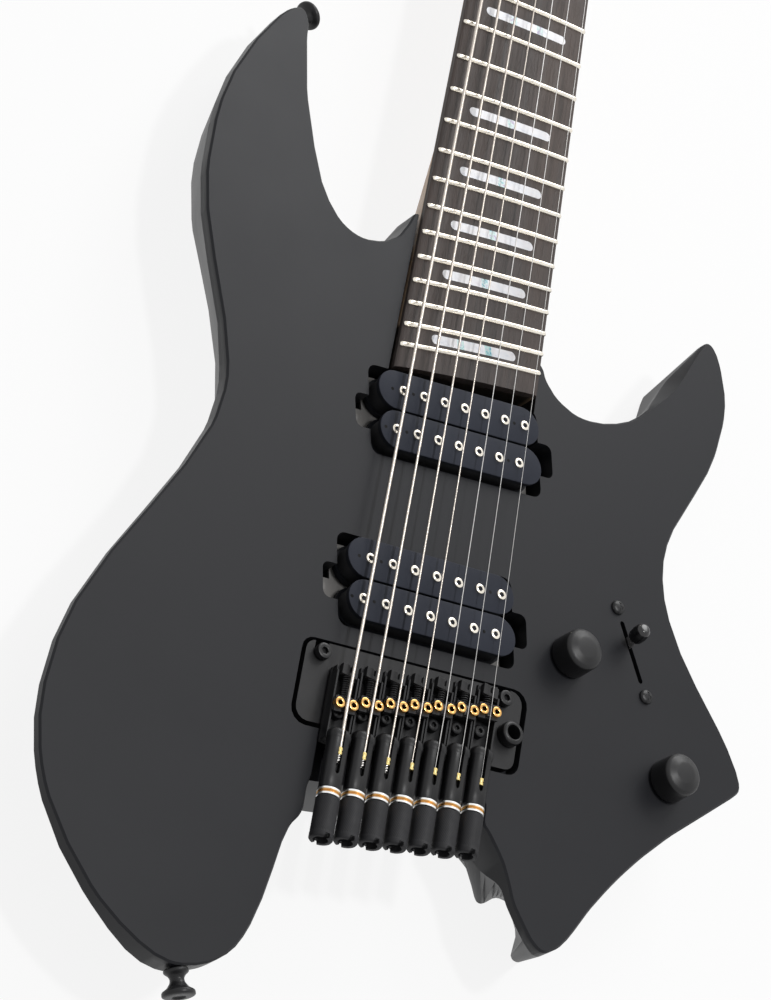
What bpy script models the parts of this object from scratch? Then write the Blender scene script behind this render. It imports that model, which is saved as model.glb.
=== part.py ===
"""Headless seven-string electric guitar with fanned frets and a spring tremolo.

The guitar lies on its back. X runs across it towards the thin strings, Y runs along it towards the
head and Z rises out of the face. The origin is on the flat back, on the centre line, under the
saddle of the thinnest string. Sizes are in millimetres and become metres when a mesh is made.
Run it with: blender --background --python part.py, or from Blender's text editor.
"""

import math

import bmesh
import bpy
import numpy as np
from mathutils import Matrix, Vector

MM = 0.001
CLEARANCE = 0.3

# Body
BODY_THICKNESS = 42.0
BODY_EDGE_ROUND = 0.8
CHAMFER_SLOPE = 2.2
CURVE_STEPS = 4
LEAST_TURN_DEGREES = 7.0
COVER_THICKNESS = 2.5
COVER_LEDGE = 3.0
OVERCUT = 1.0
FLOOR_STEP = 0.05

# The slot at the butt that the tuners lie in
SLOT_LEFT = -37.4
SLOT_RIGHT = 40.8

# Each point of the body's edge: x, y, width of the bevel cut from the face, height of the upright
# band under it, and how far the back's edge lies inside this one. That is one number where it is
# measured square to the edge, and two, along X and Y, where the back's edge runs its own way.
BODY_POINTS = [
    (-35.2, 209.0, 0, 12, (2, -5.5)),
    (-37.9, 201.8, 0, 12, (3.5, -3)),
    (-42.0, 193.3, 0, 12, (4.5, -4)),
    (-49.6, 187.0, 0, 12, 7),
    (-59.8, 184.2, 0, 12, 7),
    (-70.4, 187.8, 0, 12, 7),
    (-80.6, 199.6, 0, 11, 7),
    (-89.0, 219.0, 0, 10, 7),
    (-95.7, 239.2, 0, 10, 7),
    (-100.2, 262.0, 0, 9, (-4, -4)),
    (-101.2, 270.8, 0, 9, (-2.5, -7)),
    (-104.8, 276.0, 0, 9, (-1.5, -8.5)),
    (-110.4, 272.8, 0, 8, (0.5, -8.5)),
    (-116.6, 263.4, 0, 8, (5, -7)),
    (-125.2, 243.6, 0, 7, (9.4, -4.8)),
    (-131.2, 222.6, 0, 6, (12.4, -3.6)),
    (-133.4, 201.0, 0, 5, (15.2, -1.5)),
    (-132.1, 175.2, 0, 5, (19.2, 2.8)),
    (-126.9, 153.4, 0, 5, (22.4, 6.6)),
    (-119.2, 134.1, 0, 5, (22.6, 7.5)),
    (-111.3, 114.6, 0, 5, (20.8, 9.4)),
    (-106.2, 97.3, 0, 6, (19, 10)),
    (-104.9, 84.4, 0, 6, (19.5, 6)),
    (-107.2, 66.9, 0, 6, 22),
    (-114.6, 45.5, 0, 5, 25),
    (-125.0, 21.8, 0, 5, 28),
    (-136.9, -4.2, 0, 4, 30),
    (-146.4, -30.1, 0, 4, 32),
    (-150.8, -53.8, 0, 4, 32),
    (-150.4, -79.8, 0, 4, 31),
    (-142.9, -103.3, 0, 4.4, (26.4, 13)),
    (-129.0, -122.2, 0, 5.6, (25.5, 17.7)),
    (-112.0, -137.2, 0, 6.2, (21.5, 20.2)),
    (-93.4, -146.6, 0, 9.4, (14.4, 20.8)),
    (-80.2, -149.0, 0, 9.6, (8.7, 20)),
    (-69.2, -145.8, 0, 8, (2.7, 17.3)),
    (-61.0, -140.2, 0, 7, (-2, 13.7)),
    (-54.6, -132.6, 0, 8, (-5.4, 11.1)),
    (-50.2, -122.0, 0, 10, (-7.3, 5)),
    (-47.4, -110.5, 0, 12, (-6.1, 2)),
    (-45.2, -97.0, 0, 13, 4.4),
    (-43.6, -85.6, 0, 14, 3),
    (-41.4, -77.6, 0, 18, 2),
    (SLOT_LEFT - 1.2, -72.6, 0, 20, 1),
    (SLOT_LEFT, -68.0, 0, 22, 1),
    (SLOT_LEFT, -59.0, 0, 22, 1),
    (-35.4, -54.0, 0, 22, 1),
    (-30.0, -51.8, 0, 22, 1),
    (0.0, -43.0, 0, 22, 1),
    (30.0, -34.4, 0, 22, 1),
    (38.0, -32.4, 0, 22, (6.5, 3.4)),
    (SLOT_RIGHT, -34.0, 0, 22, (18.5, -2)),
    (41.5, -41.5, 0, 20, (25, 0.5)),
    (45.4, -45.3, 0, 18, (23.6, -3.4)),
    (52.4, -53.2, 0, 14, (20.2, 2.8)),
    (56.6, -60.5, 0, 6, (22.6, 15.6)),
    (60.3, -68.1, 0, 4.5, (26, 22)),
    (65.3, -74.1, 0, 4.5, (26, 18)),
    (71.2, -80.1, 0, 4.5, (18.9, 14)),
    (77.6, -82.2, 0, 5.5, (16.6, 14.9)),
    (84.8, -76.6, 0, 6, (12.9, 14.1)),
    (90.4, -67.6, 0, 5, (9.1, 10.2)),
    (97.0, -55.0, 0, 5, (3, 6.6)),
    (107.4, -38.6, 0, 5, 10),
    (118.6, -23.5, 0, 6, 9),
    (131.5, -8.4, 0, 7, (-3, 3)),
    (146.5, 7.2, 0, 7, (-3.5, 3)),
    (158.0, 19.2, 0, 7, (-6.5, 1.5)),
    (161.9, 25.8, 0, 7, (-9, 0)),
    (157.8, 35.0, 0, 7, (-8.5, -4)),
    (148.4, 46.8, 0, 7, 10),
    (134.4, 61.2, 0, 7, 11),
    (121.9, 76.4, 0, 7, 11),
    (113.3, 93.1, 0, 7, 11),
    (110.4, 110.4, 0, 7, 12),
    (113.4, 127.5, 0, 7, 13),
    (122.1, 149.2, 0, 8, 14),
    (127.2, 162.5, 0, 8, 14),
    (130.4, 175.6, 0, 8, 14),
    (132.4, 193.0, 0, 8, (-11, -2)),
    (131.2, 205.5, 0, 8, (-9.4, -3)),
    (126.8, 218.1, 0, 7, (-5.5, -6.5)),
    (123.1, 223.9, 0, 6, (-3, -8.3)),
    (119.4, 225.8, 0, 4, (-0.6, -8.6)),
    (116.0, 222.8, 0.2, 3.4, (1.2, -7.6)),
    (112.5, 216.3, 0.5, 3.6, (3.4, -7)),
    (108.5, 209.1, 1.7, 4.4, (6.4, -6.5)),
    (104.7, 201.9, 2.7, 5.6, (9.5, -5)),
    (101.8, 195.6, 2.7, 5.6, (10, -5)),
    (98.7, 188.9, 1.9, 4.7, (9.5, -5.5)),
    (95.0, 182.1, 0.8, 3.9, (8.5, -5.5)),
    (91.6, 176.0, 0, 4, (6.5, -5)),
    (83.6, 166.8, 0, 8, (4.5, -6)),
    (71.0, 159.2, 0, 12, 7),
    (58.0, 156.2, 0, 12, 7),
    (47.0, 159.0, 0, 12, 6),
    (40.2, 164.6, 0, 12, 5),
    (37.2, 169.6, 0, 12, 5),
    (30.0, 174.0, 0, 12, 6),
    (0.0, 190.5, 0, 12, 8),
    (-28.0, 207.5, 0, 12, (0, -5)),
]

# Strings and scale
STRING_COUNT = 7
STRING_SPACING = 10.6
STRING_DIAMETERS = [0.25, 0.33, 0.43, 0.66, 0.91, 1.17, 1.50]
TREBLE_SCALE = 647.7
BASS_SCALE = 679.0
BASS_SADDLE_BACK = 25.8
NUT_SPREAD = 42.0
STRING_OVER_NUT = 1.7
STRING_OVER_SADDLE_LINE = 9.4
STRING_FALL = 0.09
PLAYING_RADIUS = 500.0

# Neck and fingerboard. The board's side margins are how far it reaches past the outer string at the
# thin string's saddle and at its nut, first on the thick strings' side and then on the thin ones'.
BOARD_MARGINS = ((4.6, 4.4), (6.4, 2.6))
BOARD_RISE = 4.0
BOARD_THICKNESS = 4.0
BOARD_END_MARGIN = 10.9
BOARD_COLUMNS = 4
FRET_COUNT = 24
FRET_WIDTH = 2.4
FRET_CROWN_WIDTH = 1.2
FRET_HEIGHT = 1.2
NECK_DEPTH_AT_NUT = 15.0
NECK_DEPTH_AT_HEEL = 18.0
NECK_ROUNDNESS = 2.4
NECK_TAPER = 0.32
HEEL_SQUARENESS = 9.0
HEEL_BLEND = 26.0
POCKET_END_GAP = 7.0
POCKET_REACH = 80.0
NECK_RING_POINTS = 20
NECK_RINGS = 14
POCKET_GAP = 1.1
JOINT_MARK = 4.0
ROD_WIDTH = 6.0
ROD_DEPTH = 9.0
ROD_FROM_NUT = 12.0
ROD_LENGTH = 430.0

# Nut and headpiece
NUT_THICKNESS = 4.5
NUT_RISE = 1.2
HEADPIECE_LENGTH = 34.0
HEADPIECE_RISE = 2.0
HEADPIECE_FLOOR = 3.0
CLAMP_LENGTH = 14.0
CLAMP_SETBACK = 8.0
CLAMP_HEIGHT = 6.0
CLAMP_SCREW_RADIUS = 2.4
CLAMP_SCREW_HEIGHT = 3.0
CLAMP_HOLD = 10.0
HEAD_OVERHANG = 2.0

# Pickups
PICKUP_ROWS = 17.8
BOBBIN_LENGTH = 79.6
BOBBIN_WIDTH = 16.9
BOBBIN_HEIGHT = 11.5
PICKUP_RISE = 4.0
PICKUP_CAVITY_LENGTH = 84.0
PICKUP_CAVITY_WIDTH = 39.5
PICKUP_CAVITY_CORNER = 4.0
PICKUP_CAVITY_DEPTH = 20.0
EAR_CORNER = 3.0
PICKUP_EAR_REACH = 48.8
PICKUP_EAR_WIDTH = 15.0
PICKUP_EAR_SHIFT = 2.0
BASEPLATE_THICKNESS = 1.5
BASEPLATE_MARGIN = 1.5
EAR_TAB_WIDTH = 9.0
EAR_TAB_REACH = 46.8
PICKUP_SCREW_SPREAD = 44.6
PICKUP_SCREW_RADIUS = 1.5
COIL_INSET = 1.4
FLANGE_THICKNESS = 2.4
POLE_RADIUS = 2.4
POLE_RISE = 1.4
SPACER_LENGTH = 60.0
SPACER_WIDTH = 10.0
SPACER_HEIGHT = 2.0
NECK_PICKUP = (0.3, 118.7, 13.0)
NECK_POLE_SPREAD = 58.8
BRIDGE_PICKUP = (0.0, 38.5, 11.7)
BRIDGE_POLE_SPREAD = 62.2

# Tremolo
SLANT_DEGREES = 11.7
PIVOT_Y = 4.4
PIVOT_HALF_SPREAD = 42.0
PLATE_DEPTH_IN_BODY = 0.5
PLATE_THICKNESS = 4.0
PLATE_LEFT = -48.6
PLATE_RIGHT = 51.4
PLATE_FRONT = 4.9
PLATE_REAR = -29.0
PLATE_CORNER = 5.0
RECESS_GAP = 2.2
RECESS_FRONT_GAP = 0.8
RECESS_DEPTH = 8.0
RECESS_CORNER = 6.0
SHELF_LEFT = SLOT_LEFT + 0.3
SHELF_RIGHT = SLOT_RIGHT - 0.3
SHELF_LAP = 6.0
SHELF_BACK = -60.0
BLOCK_LENGTH = 62.0
BLOCK_FRONT = -4.0
BLOCK_REAR = -18.0
BLOCK_BOTTOM = 6.5
BLOCK_SIDE_ROOM = 1.5
BLOCK_SWING_FRONT = 7.0
BLOCK_SWING_REAR = 9.0
STUD_HEAD_RADIUS = 3.6
STUD_NECK_RADIUS = 2.6
STUD_HEAD_RISE = 3.0
STUD_TILT_ROOM = 0.9
STUD_DEPTH = 22.0
STUD_NOTCH_GAP = 0.4
STUD_SOCKET_RADIUS = 1.8
STUD_SOCKET_DEPTH = 2.0
ARM_SOCKET_PLACE = (46.6, -0.9)
ARM_SOCKET_RADIUS = 4.9
ARM_SOCKET_STEM = 3.8
ARM_SOCKET_BORE = 3.0
ARM_SOCKET_RISE = 4.5
ARM_SOCKET_BELOW_PLATE = 0.5
ARM_SOCKET_BORE_DEPTH = 7.4

# One tuner module for each string, set back a step further for each thicker string
MODULE_STEP = 3.35
MODULE_WIDTH = 10.2
MODULE_FRONT = 12.3
MODULE_FLOOR = 1.5
MODULE_HEIGHT = 6.0
MODULE_WALL = 1.2
FRONT_WALL = 2.0
BARREL_FRONT = -17.4
BARREL_END = -41.4
BARREL_RADIUS = 4.2
BARREL_BORE = 2.9
BARREL_MOUTH = 2.4
SLOT_FLOOR_RISE = 0.3
SLAB_INSET = 2.0
SLAB_LAP = 3.0
BARREL_RISE = 6.2
SLOT_WIDTH = 2.4
SLOT_LENGTH = 21.5
WASHER_LENGTH = 3.1
WASHER_GROOVE = 0.4
WASHER_RADIUS = 4.5
KNOB_LENGTH = 16.9
KNOB_RADIUS = 4.6
KNOB_BEVEL = 0.6
KNOB_ROD_RADIUS = 1.5
PULLER_RADIUS = 2.5
PULLER_AHEAD = 2.4
PULLER_BEHIND = 7.5
PULLER_BORE_DEPTH = 5.7
ROD_ENGAGEMENT = 3.0
ROD_GAP = 0.4
HOOK_LENGTH = 3.0
HOOK_WIDTH = 1.8
HOOK_RISE = 3.3
BALL_Y = -31.2
BALL_STEP = 2.43
BALL_RISE = 1.4
BALL_RADIUS = 1.2
BALL_LENGTH = 2.2
BALL_SHOULDER = 0.1
SADDLE_AHEAD = 4.2
SADDLE_BEHIND = 3.2
SADDLE_HEAD_WIDTH = 10.1
SADDLE_CREST = 0.6
SADDLE_FALL = 0.8
SADDLE_STRING_GAP = 0.25
SADDLE_WIDTH = 7.2
HEIGHT_SCREW_RADIUS = 2.0
HEIGHT_SCREW_SPREAD = 6.0
HEIGHT_SCREW_AHEAD = 0.7
HEIGHT_SCREW_LENGTH = 2.5

# Springs and claw behind the body
SPRING_WELL_HALF_WIDTH = 33.0
SPRING_WELL_HEAD = 104.0
SPRING_WELL_ROOF = 18.0
SPRING_COUNT = 3
SPRING_PITCH = 20.0
SPRING_RADIUS = 4.2
SPRING_HEIGHT = 10.5
SPRING_SIDES = 10
CLAW_LENGTH = 56.0
CLAW_Y = 88.0
CLAW_THICKNESS = 3.0
CLAW_HEIGHT = 11.0
CLAW_SCREW_RADIUS = 2.0
CLAW_SCREW_SPREAD = 30.0
CLAW_SCREW_HEAD_RADIUS = 3.6
CLAW_SCREW_HEAD = 2.4
CLAW_SCREW_LENGTH = 27.0
SPRING_HOOK_RADIUS = 1.2
SPRING_HOOK_LENGTH = 5.0
SPRING_SHOULDER = 2.0
SPRING_END_GAP = 0.7
WELL_CORNER = 6.0

# Controls
VOLUME_PLACE = (69.5, 44.8)
TONE_PLACE = (124.5, 12.2)
CONTROL_KNOB_RADIUS = 9.0
CONTROL_KNOB_TOP_RADIUS = 8.7
CONTROL_KNOB_HEIGHT = 12.4
CONTROL_KNOB_LIFT = 0.8
CONTROL_KNOB_DOME = 1.4
CONTROL_KNOB_BORE_DEPTH = 8.0
CONTROL_KNOB_EDGE = 0.8
POT_RADIUS = 8.0
POT_HEIGHT = 9.0
POT_BUSH_RADIUS = 3.6
POT_SHAFT_RADIUS = 2.8
CONTROL_ROOF = 6.0
CONTROL_WELL_ROOM = 1.2
POT_BUSH_RISE = 0.4
SELECTOR_PLACE = (99.6, 61.3)
SELECTOR_DEGREES = -59.7
SELECTOR_SLOT_LENGTH = 27.0
SELECTOR_SLOT_WIDTH = 2.2
SELECTOR_SCREW_SPREAD = 38.4
SELECTOR_SCREW_RADIUS = 1.5
SELECTOR_BODY_LENGTH = 48.0
SELECTOR_BODY_WIDTH = 13.0
SELECTOR_BODY_DEPTH = 20.0
SELECTOR_SCREW_HEAD_RADIUS = 2.9
SELECTOR_SCREW_HEAD = 1.2
SELECTOR_GROOVE_WIDTH = 2.4
SELECTOR_GROOVE_FLOOR = 1.5
SELECTOR_PIN_RADIUS = 1.0
LEVER_RISE = 12.0
LEVER_WIDTH = 5.0
LEVER_THICKNESS = 1.4
LEVER_TIP_LENGTH = 8.0
LEVER_TIP_RADIUS = 3.0
LEVER_PIVOT_DEPTH = 22.0
LEVER_REST_DEGREES = 10.0
LEVER_FOOT_STEPS = 6

# Output jack and strap buttons
JACK_PLACE = (116.2, -23.4, 19.0)
JACK_DIRECTION = (0.72, -0.69, 0.0)
JACK_SEAT_DEPTH = 9.0
JACK_RADIUS = 6.0
JACK_BORE = 3.3
JACK_LENGTH = 24.0
JACK_BORE_DEPTH = 22.0
JACK_FLANGE_RADIUS = 8.0
JACK_FLANGE_THICKNESS = 2.0
WIRE_BORE_RADIUS = 2.5
WIRE_WAYS = [
    ((20.0, 112.0, 26.0), (20.0, 58.0, 26.0)),
    ((36.0, 45.0, 26.0), (66.0, 45.0, 26.0)),
]
JACK_WIRE_END = (98.0, 22.0, 19.0)
BUTTON_BASE_RADIUS = 4.6
BUTTON_NECK_RADIUS = 2.6
BUTTON_END_RADIUS = 6.2
BUTTON_LENGTH = 10.4
BUTTON_SCREW_RADIUS = 2.0
BUTTON_SCREW_LENGTH = 12.0
BUTTON_DISC = 2.4
BUTT_BUTTON = (-74.2, -147.9, 37.0)
HORN_BUTTON = (-103.8, 274.8, 32.3)

# Values that follow from the sizes above
FACE = BODY_THICKNESS
BOARD_TOP = FACE + BOARD_RISE
BOARD_BOTTOM = BOARD_TOP - BOARD_THICKNESS
NECK_TOP = BOARD_BOTTOM - CLEARANCE
STRING_HALF_SPREAD = STRING_SPACING * (STRING_COUNT - 1) / 2
SLANT = math.radians(SLANT_DEGREES)
PLATE_TOP = FACE - PLATE_DEPTH_IN_BODY
PLATE_BOTTOM = PLATE_TOP - PLATE_THICKNESS
RECESS_FLOOR = FACE - RECESS_DEPTH
BARREL_AXIS = FACE + BARREL_RISE
MODULE_BOTTOM = PLATE_TOP + CLEARANCE
BARREL_LENGTH = BARREL_FRONT - BARREL_END
POCKET_FLOOR = NECK_TOP - NECK_DEPTH_AT_HEEL - CLEARANCE
CAVITY_FLOOR = FACE - PICKUP_CAVITY_DEPTH
BASEPLATE_TOP = FACE + PICKUP_RISE - BOBBIN_HEIGHT - CLEARANCE
POT_TOP = FACE - CONTROL_ROOF - CLEARANCE
LEVER_PIVOT = FACE - LEVER_PIVOT_DEPTH
TOP_CUT = FACE + OVERCUT
PIVOT = Vector((0.0, PIVOT_Y, PLATE_TOP - PLATE_THICKNESS / 2))


def clear_scene():
    for old in list(bpy.data.objects):
        bpy.data.objects.remove(old)


def finish(name, colour, roughness, metallic=0.0):
    """A plain material for one sub-part."""
    material = bpy.data.materials.new(name)
    material.use_nodes = True
    shader = material.node_tree.nodes["Principled BSDF"]
    shader.inputs["Base Color"].default_value = (*colour, 1.0)
    shader.inputs["Roughness"].default_value = roughness
    shader.inputs["Metallic"].default_value = metallic
    material.diffuse_color = (*colour, 1.0)
    return material


def solid(name, points, faces, material=None, origin=(0, 0, 0), smooth=30.0):
    """An object from points in millimetres, its faces turned outwards and its origin at a given place."""
    origin = Vector(origin)
    mesh = bpy.data.meshes.new(name)
    mesh.from_pydata([(Vector(p) - origin) * MM for p in points], [], faces)
    shape = bmesh.new()
    shape.from_mesh(mesh)
    bmesh.ops.recalc_face_normals(shape, faces=shape.faces)
    shape.to_mesh(mesh)
    shape.free()
    mesh.shade_smooth()
    mesh.set_sharp_from_angle(angle=math.radians(smooth))
    made = bpy.data.objects.new(name, mesh)
    made.location = origin * MM
    bpy.context.scene.collection.objects.link(made)
    if material:
        mesh.materials.append(material)
    return made


def rings(name, loops, material=None, origin=(0, 0, 0)):
    """A closed solid from loops of equally many points, with a flat cap at each end."""
    loops = np.asarray(loops, float)
    count, size, _ = loops.shape
    index = np.arange(count * size).reshape(count, size)
    ahead = np.roll(index, -1, axis=1)
    sides = np.stack([index[:-1], ahead[:-1], ahead[1:], index[1:]], axis=-1).reshape(-1, 4)
    faces = [list(map(int, side)) for side in sides]
    faces.append([int(i) for i in index[0][::-1]])
    faces.append([int(i) for i in index[-1]])
    return solid(name, loops.reshape(-1, 3), faces, material, origin)


def prism(name, outline, low, high, material=None, origin=(0, 0, 0)):
    """An upright solid on an outline of x and y."""
    loops = [[(x, y, height) for x, y in outline] for height in (low, high)]
    return rings(name, loops, material, origin)


def turned(name, profile, centre, axis, sides=24, material=None):
    """A profile of radius and height, turned about an axis through centre. It starts and ends on the axis."""
    centre = Vector(centre)
    turn = Vector(axis).normalized().to_track_quat("Z", "Y").to_matrix()
    points = [centre + turn @ Vector((0, 0, profile[0][1]))]
    middle = profile[1:-1]
    for radius, height in middle:
        for step in range(sides):
            angle = 2 * math.pi * step / sides
            spot = Vector((radius * math.cos(angle), radius * math.sin(angle), height))
            points.append(centre + turn @ spot)
    points.append(centre + turn @ Vector((0, 0, profile[-1][1])))
    faces = []
    last = len(points) - 1
    for step in range(sides):
        after = (step + 1) % sides
        faces.append((0, 1 + after, 1 + step))
        for level in range(len(middle) - 1):
            row = 1 + level * sides
            faces.append((row + step, row + after, row + sides + after, row + sides + step))
        row = 1 + (len(middle) - 1) * sides
        faces.append((last, row + step, row + after))
    return solid(name, points, faces, material, centre)


def cylinder(name, centre, axis, radius, low, high, sides=24, material=None):
    """A plain round bar along axis, from low to high measured from centre."""
    return turned(name, [(0, low), (radius, low), (radius, high), (0, high)], centre, axis, sides, material)


def rounded(corners, radius, steps=4):
    """The outline through these corners, counter-clockwise, each rounded by an arc of the radius."""
    outline = []
    count = len(corners)
    for number in range(count):
        here = Vector(corners[number])
        back = (Vector(corners[number - 1]) - here).normalized()
        ahead = (Vector(corners[(number + 1) % count]) - here).normalized()
        half = back.angle(ahead) / 2
        inward = (back + ahead).normalized()
        centre = here + inward * radius / math.sin(half)
        start = here + back * radius / math.tan(half) - centre
        end = here + ahead * radius / math.tan(half) - centre
        first = math.atan2(start.y, start.x)
        sweep = math.remainder(math.atan2(end.y, end.x) - first, 2 * math.pi)
        for step in range(steps + 1):
            angle = first + sweep * step / steps
            outline.append((centre.x + radius * math.cos(angle), centre.y + radius * math.sin(angle)))
    return outline


def stadium(centre, degrees, length, width, steps=7):
    """A slot outline with half-round ends, turned by an angle."""
    turn = Matrix.Rotation(math.radians(degrees), 2)
    reach = (length - width) / 2
    outline = []
    for end, first in ((1, -90), (-1, 90)):
        for step in range(steps + 1):
            angle = math.radians(first + 180 * step / steps)
            spot = Vector((end * reach, 0)) + Vector((math.cos(angle), math.sin(angle))) * width / 2
            outline.append(tuple(Vector(centre[:2]) + turn @ spot))
    return outline


def turned_box(centre, degrees, low_u, high_u, low_v, high_v):
    """The corners of a rectangle in a frame turned by an angle about centre."""
    turn = Matrix.Rotation(math.radians(degrees), 2)
    corners = ((low_u, low_v), (high_u, low_v), (high_u, high_v), (low_u, high_v))
    return [tuple(Vector(centre[:2]) + turn @ Vector(corner)) for corner in corners]


def on_slant(x, behind):
    """The point at x that lies a distance ahead of the tremolo's slanted pivot line."""
    return (x, PIVOT_Y + x * math.tan(SLANT) + behind / math.cos(SLANT))


def cutter(made):
    made.hide_render = True
    made.display_type = "WIRE"
    return made


def combine(target, others, operation):
    """Joins or cuts with all the others at once, and keeps them as hidden guides."""
    group = bpy.data.collections.new(f"{target.name} {operation.lower()}")
    bpy.context.scene.collection.children.link(group)
    for other in others:
        cutter(other)
        bpy.context.scene.collection.objects.unlink(other)
        group.objects.link(other)
    step = target.modifiers.new(operation.title(), "BOOLEAN")
    step.operation = operation
    step.operand_type = "COLLECTION"
    step.collection = group
    step.solver = "EXACT"
    return target


def closed_curve(points, steps):
    """A smooth closed curve through the points, in any number of channels (uniform Catmull-Rom)."""
    here = np.asarray(points, float)
    before, after, beyond = np.roll(here, 1, 0), np.roll(here, -1, 0), np.roll(here, -2, 0)
    parts = []
    for step in range(steps):
        t = step / steps
        parts.append(
            0.5 * (2 * here + (after - before) * t
                   + (2 * before - 5 * here + 4 * after - beyond) * t ** 2
                   + (3 * here - before - 3 * after + beyond) * t ** 3)
        )
    return np.stack(parts, 1).reshape(-1, here.shape[1])


def thinned(edge):
    """The curve without the points where it hardly turns."""
    turns = []
    for line in (edge[:, :2], edge[:, :2] + edge[:, 4:]):
        ahead = np.roll(line, -1, 0) - line
        heading = np.degrees(np.arctan2(ahead[:, 1], ahead[:, 0]))
        turns.append(np.abs((np.diff(heading, prepend=heading[-1]) + 180) % 360 - 180))
    kept, spare = [], 0.0
    for number, bend in enumerate(np.maximum(*turns)):
        spare += bend
        if spare > LEAST_TURN_DEGREES or number % CURVE_STEPS == 0 and spare > LEAST_TURN_DEGREES / 2:
            kept.append(number)
            spare = 0.0
    return edge[kept]


def body_edge():
    """The edge's places, inward directions, bevels, bands and ways to the back's edge."""
    places = np.array([point[:2] for point in BODY_POINTS], float)
    along = np.roll(places, -1, 0) - np.roll(places, 1, 0)
    along /= np.linalg.norm(along, axis=1)[:, None]
    rows = []
    for point, (run, rise) in zip(BODY_POINTS, along):
        inside = point[4]
        if not isinstance(inside, tuple):
            inside = (-rise * inside, run * inside)
        rows.append((*point[:4], *inside))
    edge = thinned(closed_curve(rows, CURVE_STEPS))
    place = edge[:, :2]
    along = np.roll(place, -1, 0) - np.roll(place, 1, 0)
    along /= np.linalg.norm(along, axis=1)[:, None]
    inward = np.stack([-along[:, 1], along[:, 0]], 1)
    return place, inward, edge[:, 2].clip(0), edge[:, 3], edge[:, 4:]


def body_loops():
    """The body's loops from the edge of the back to the edge of the face."""
    place, inward, bevel, band, to_back = body_edge()

    def loop(centre, inside, height):
        flat = centre + inward * np.reshape(inside, (-1, 1))
        return np.column_stack([flat, np.broadcast_to(height, len(flat))])

    shoulder = FACE - BODY_EDGE_ROUND - bevel * CHAMFER_SLOPE
    return [
        loop(place + to_back, BODY_EDGE_ROUND, 0.0),
        loop(place + to_back, 0.0, BODY_EDGE_ROUND),
        loop(place, 0.0, FACE - band - bevel),
        loop(place, 0.0, shoulder),
        loop(place, bevel + BODY_EDGE_ROUND, FACE),
    ]


def fret_line(number):
    """The two ends of a fret under the outer strings: the thick one's x and y, then the thin one's."""
    ends = []
    for side, scale, start in ((-1, BASS_SCALE, -BASS_SADDLE_BACK), (1, TREBLE_SCALE, 0.0)):
        y = start + scale * 2 ** (-number / 12)
        ends.append((side * outer_string_x(y), y))
    return ends


def outer_string_x(y):
    return STRING_HALF_SPREAD + (NUT_SPREAD / 2 - STRING_HALF_SPREAD) * y / TREBLE_SCALE


def across_board(line, shift=0.0):
    """A line across the fingerboard, moved along it and stretched to the board's two edges."""
    (x0, y0), (x1, y1) = line
    slope = (y1 - y0) / (x1 - x0)
    base = y0 + shift - slope * x0
    ends = []
    for side, (at_saddle, at_nut) in zip((-1, 1), BOARD_MARGINS):
        start = STRING_HALF_SPREAD + at_saddle
        taper = (NUT_SPREAD / 2 + at_nut - start) / TREBLE_SCALE
        x = side * (start + taper * base) / (1 - side * taper * slope)
        ends.append((x, base + slope * x))
    return ends


def crown(x):
    return x * x / (2 * PLAYING_RADIUS)


def make_fretboard():
    """One strip of loops: each loop crosses the board under a fret's foot or crown."""
    stations = [(fret_line(FRET_COUNT), -BOARD_END_MARGIN, 0.0)]
    for number in range(FRET_COUNT, 0, -1):
        line = fret_line(number)
        stations += [
            (line, -FRET_WIDTH / 2, 0.0),
            (line, -FRET_CROWN_WIDTH / 2, FRET_HEIGHT),
            (line, FRET_CROWN_WIDTH / 2, FRET_HEIGHT),
            (line, FRET_WIDTH / 2, 0.0),
        ]
    stations.append((fret_line(0), -CLEARANCE, 0.0))
    loops = []
    for line, shift, rise in stations:
        (x0, y0), (x1, y1) = across_board(line, shift)
        loop = [(x1, y1, BOARD_BOTTOM), (x0, y0, BOARD_BOTTOM)]
        for column in range(BOARD_COLUMNS + 1):
            part = column / BOARD_COLUMNS
            x = x0 + (x1 - x0) * part
            loop.append((x, y0 + (y1 - y0) * part, BOARD_TOP - crown(x) + rise))
        loops.append(loop)
    wood = finish("Ebony fingerboard with steel frets", (0.06, 0.045, 0.04), 0.5)
    return rings("fretboard", loops, wood)


def head_line(distance):
    """A line across the neck beyond the nut, at this distance from the end of the fingerboard."""
    return across_board(fret_line(0), distance)


def neck_end_distance():
    return NUT_THICKNESS + 2 * CLEARANCE + HEADPIECE_LENGTH


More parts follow.
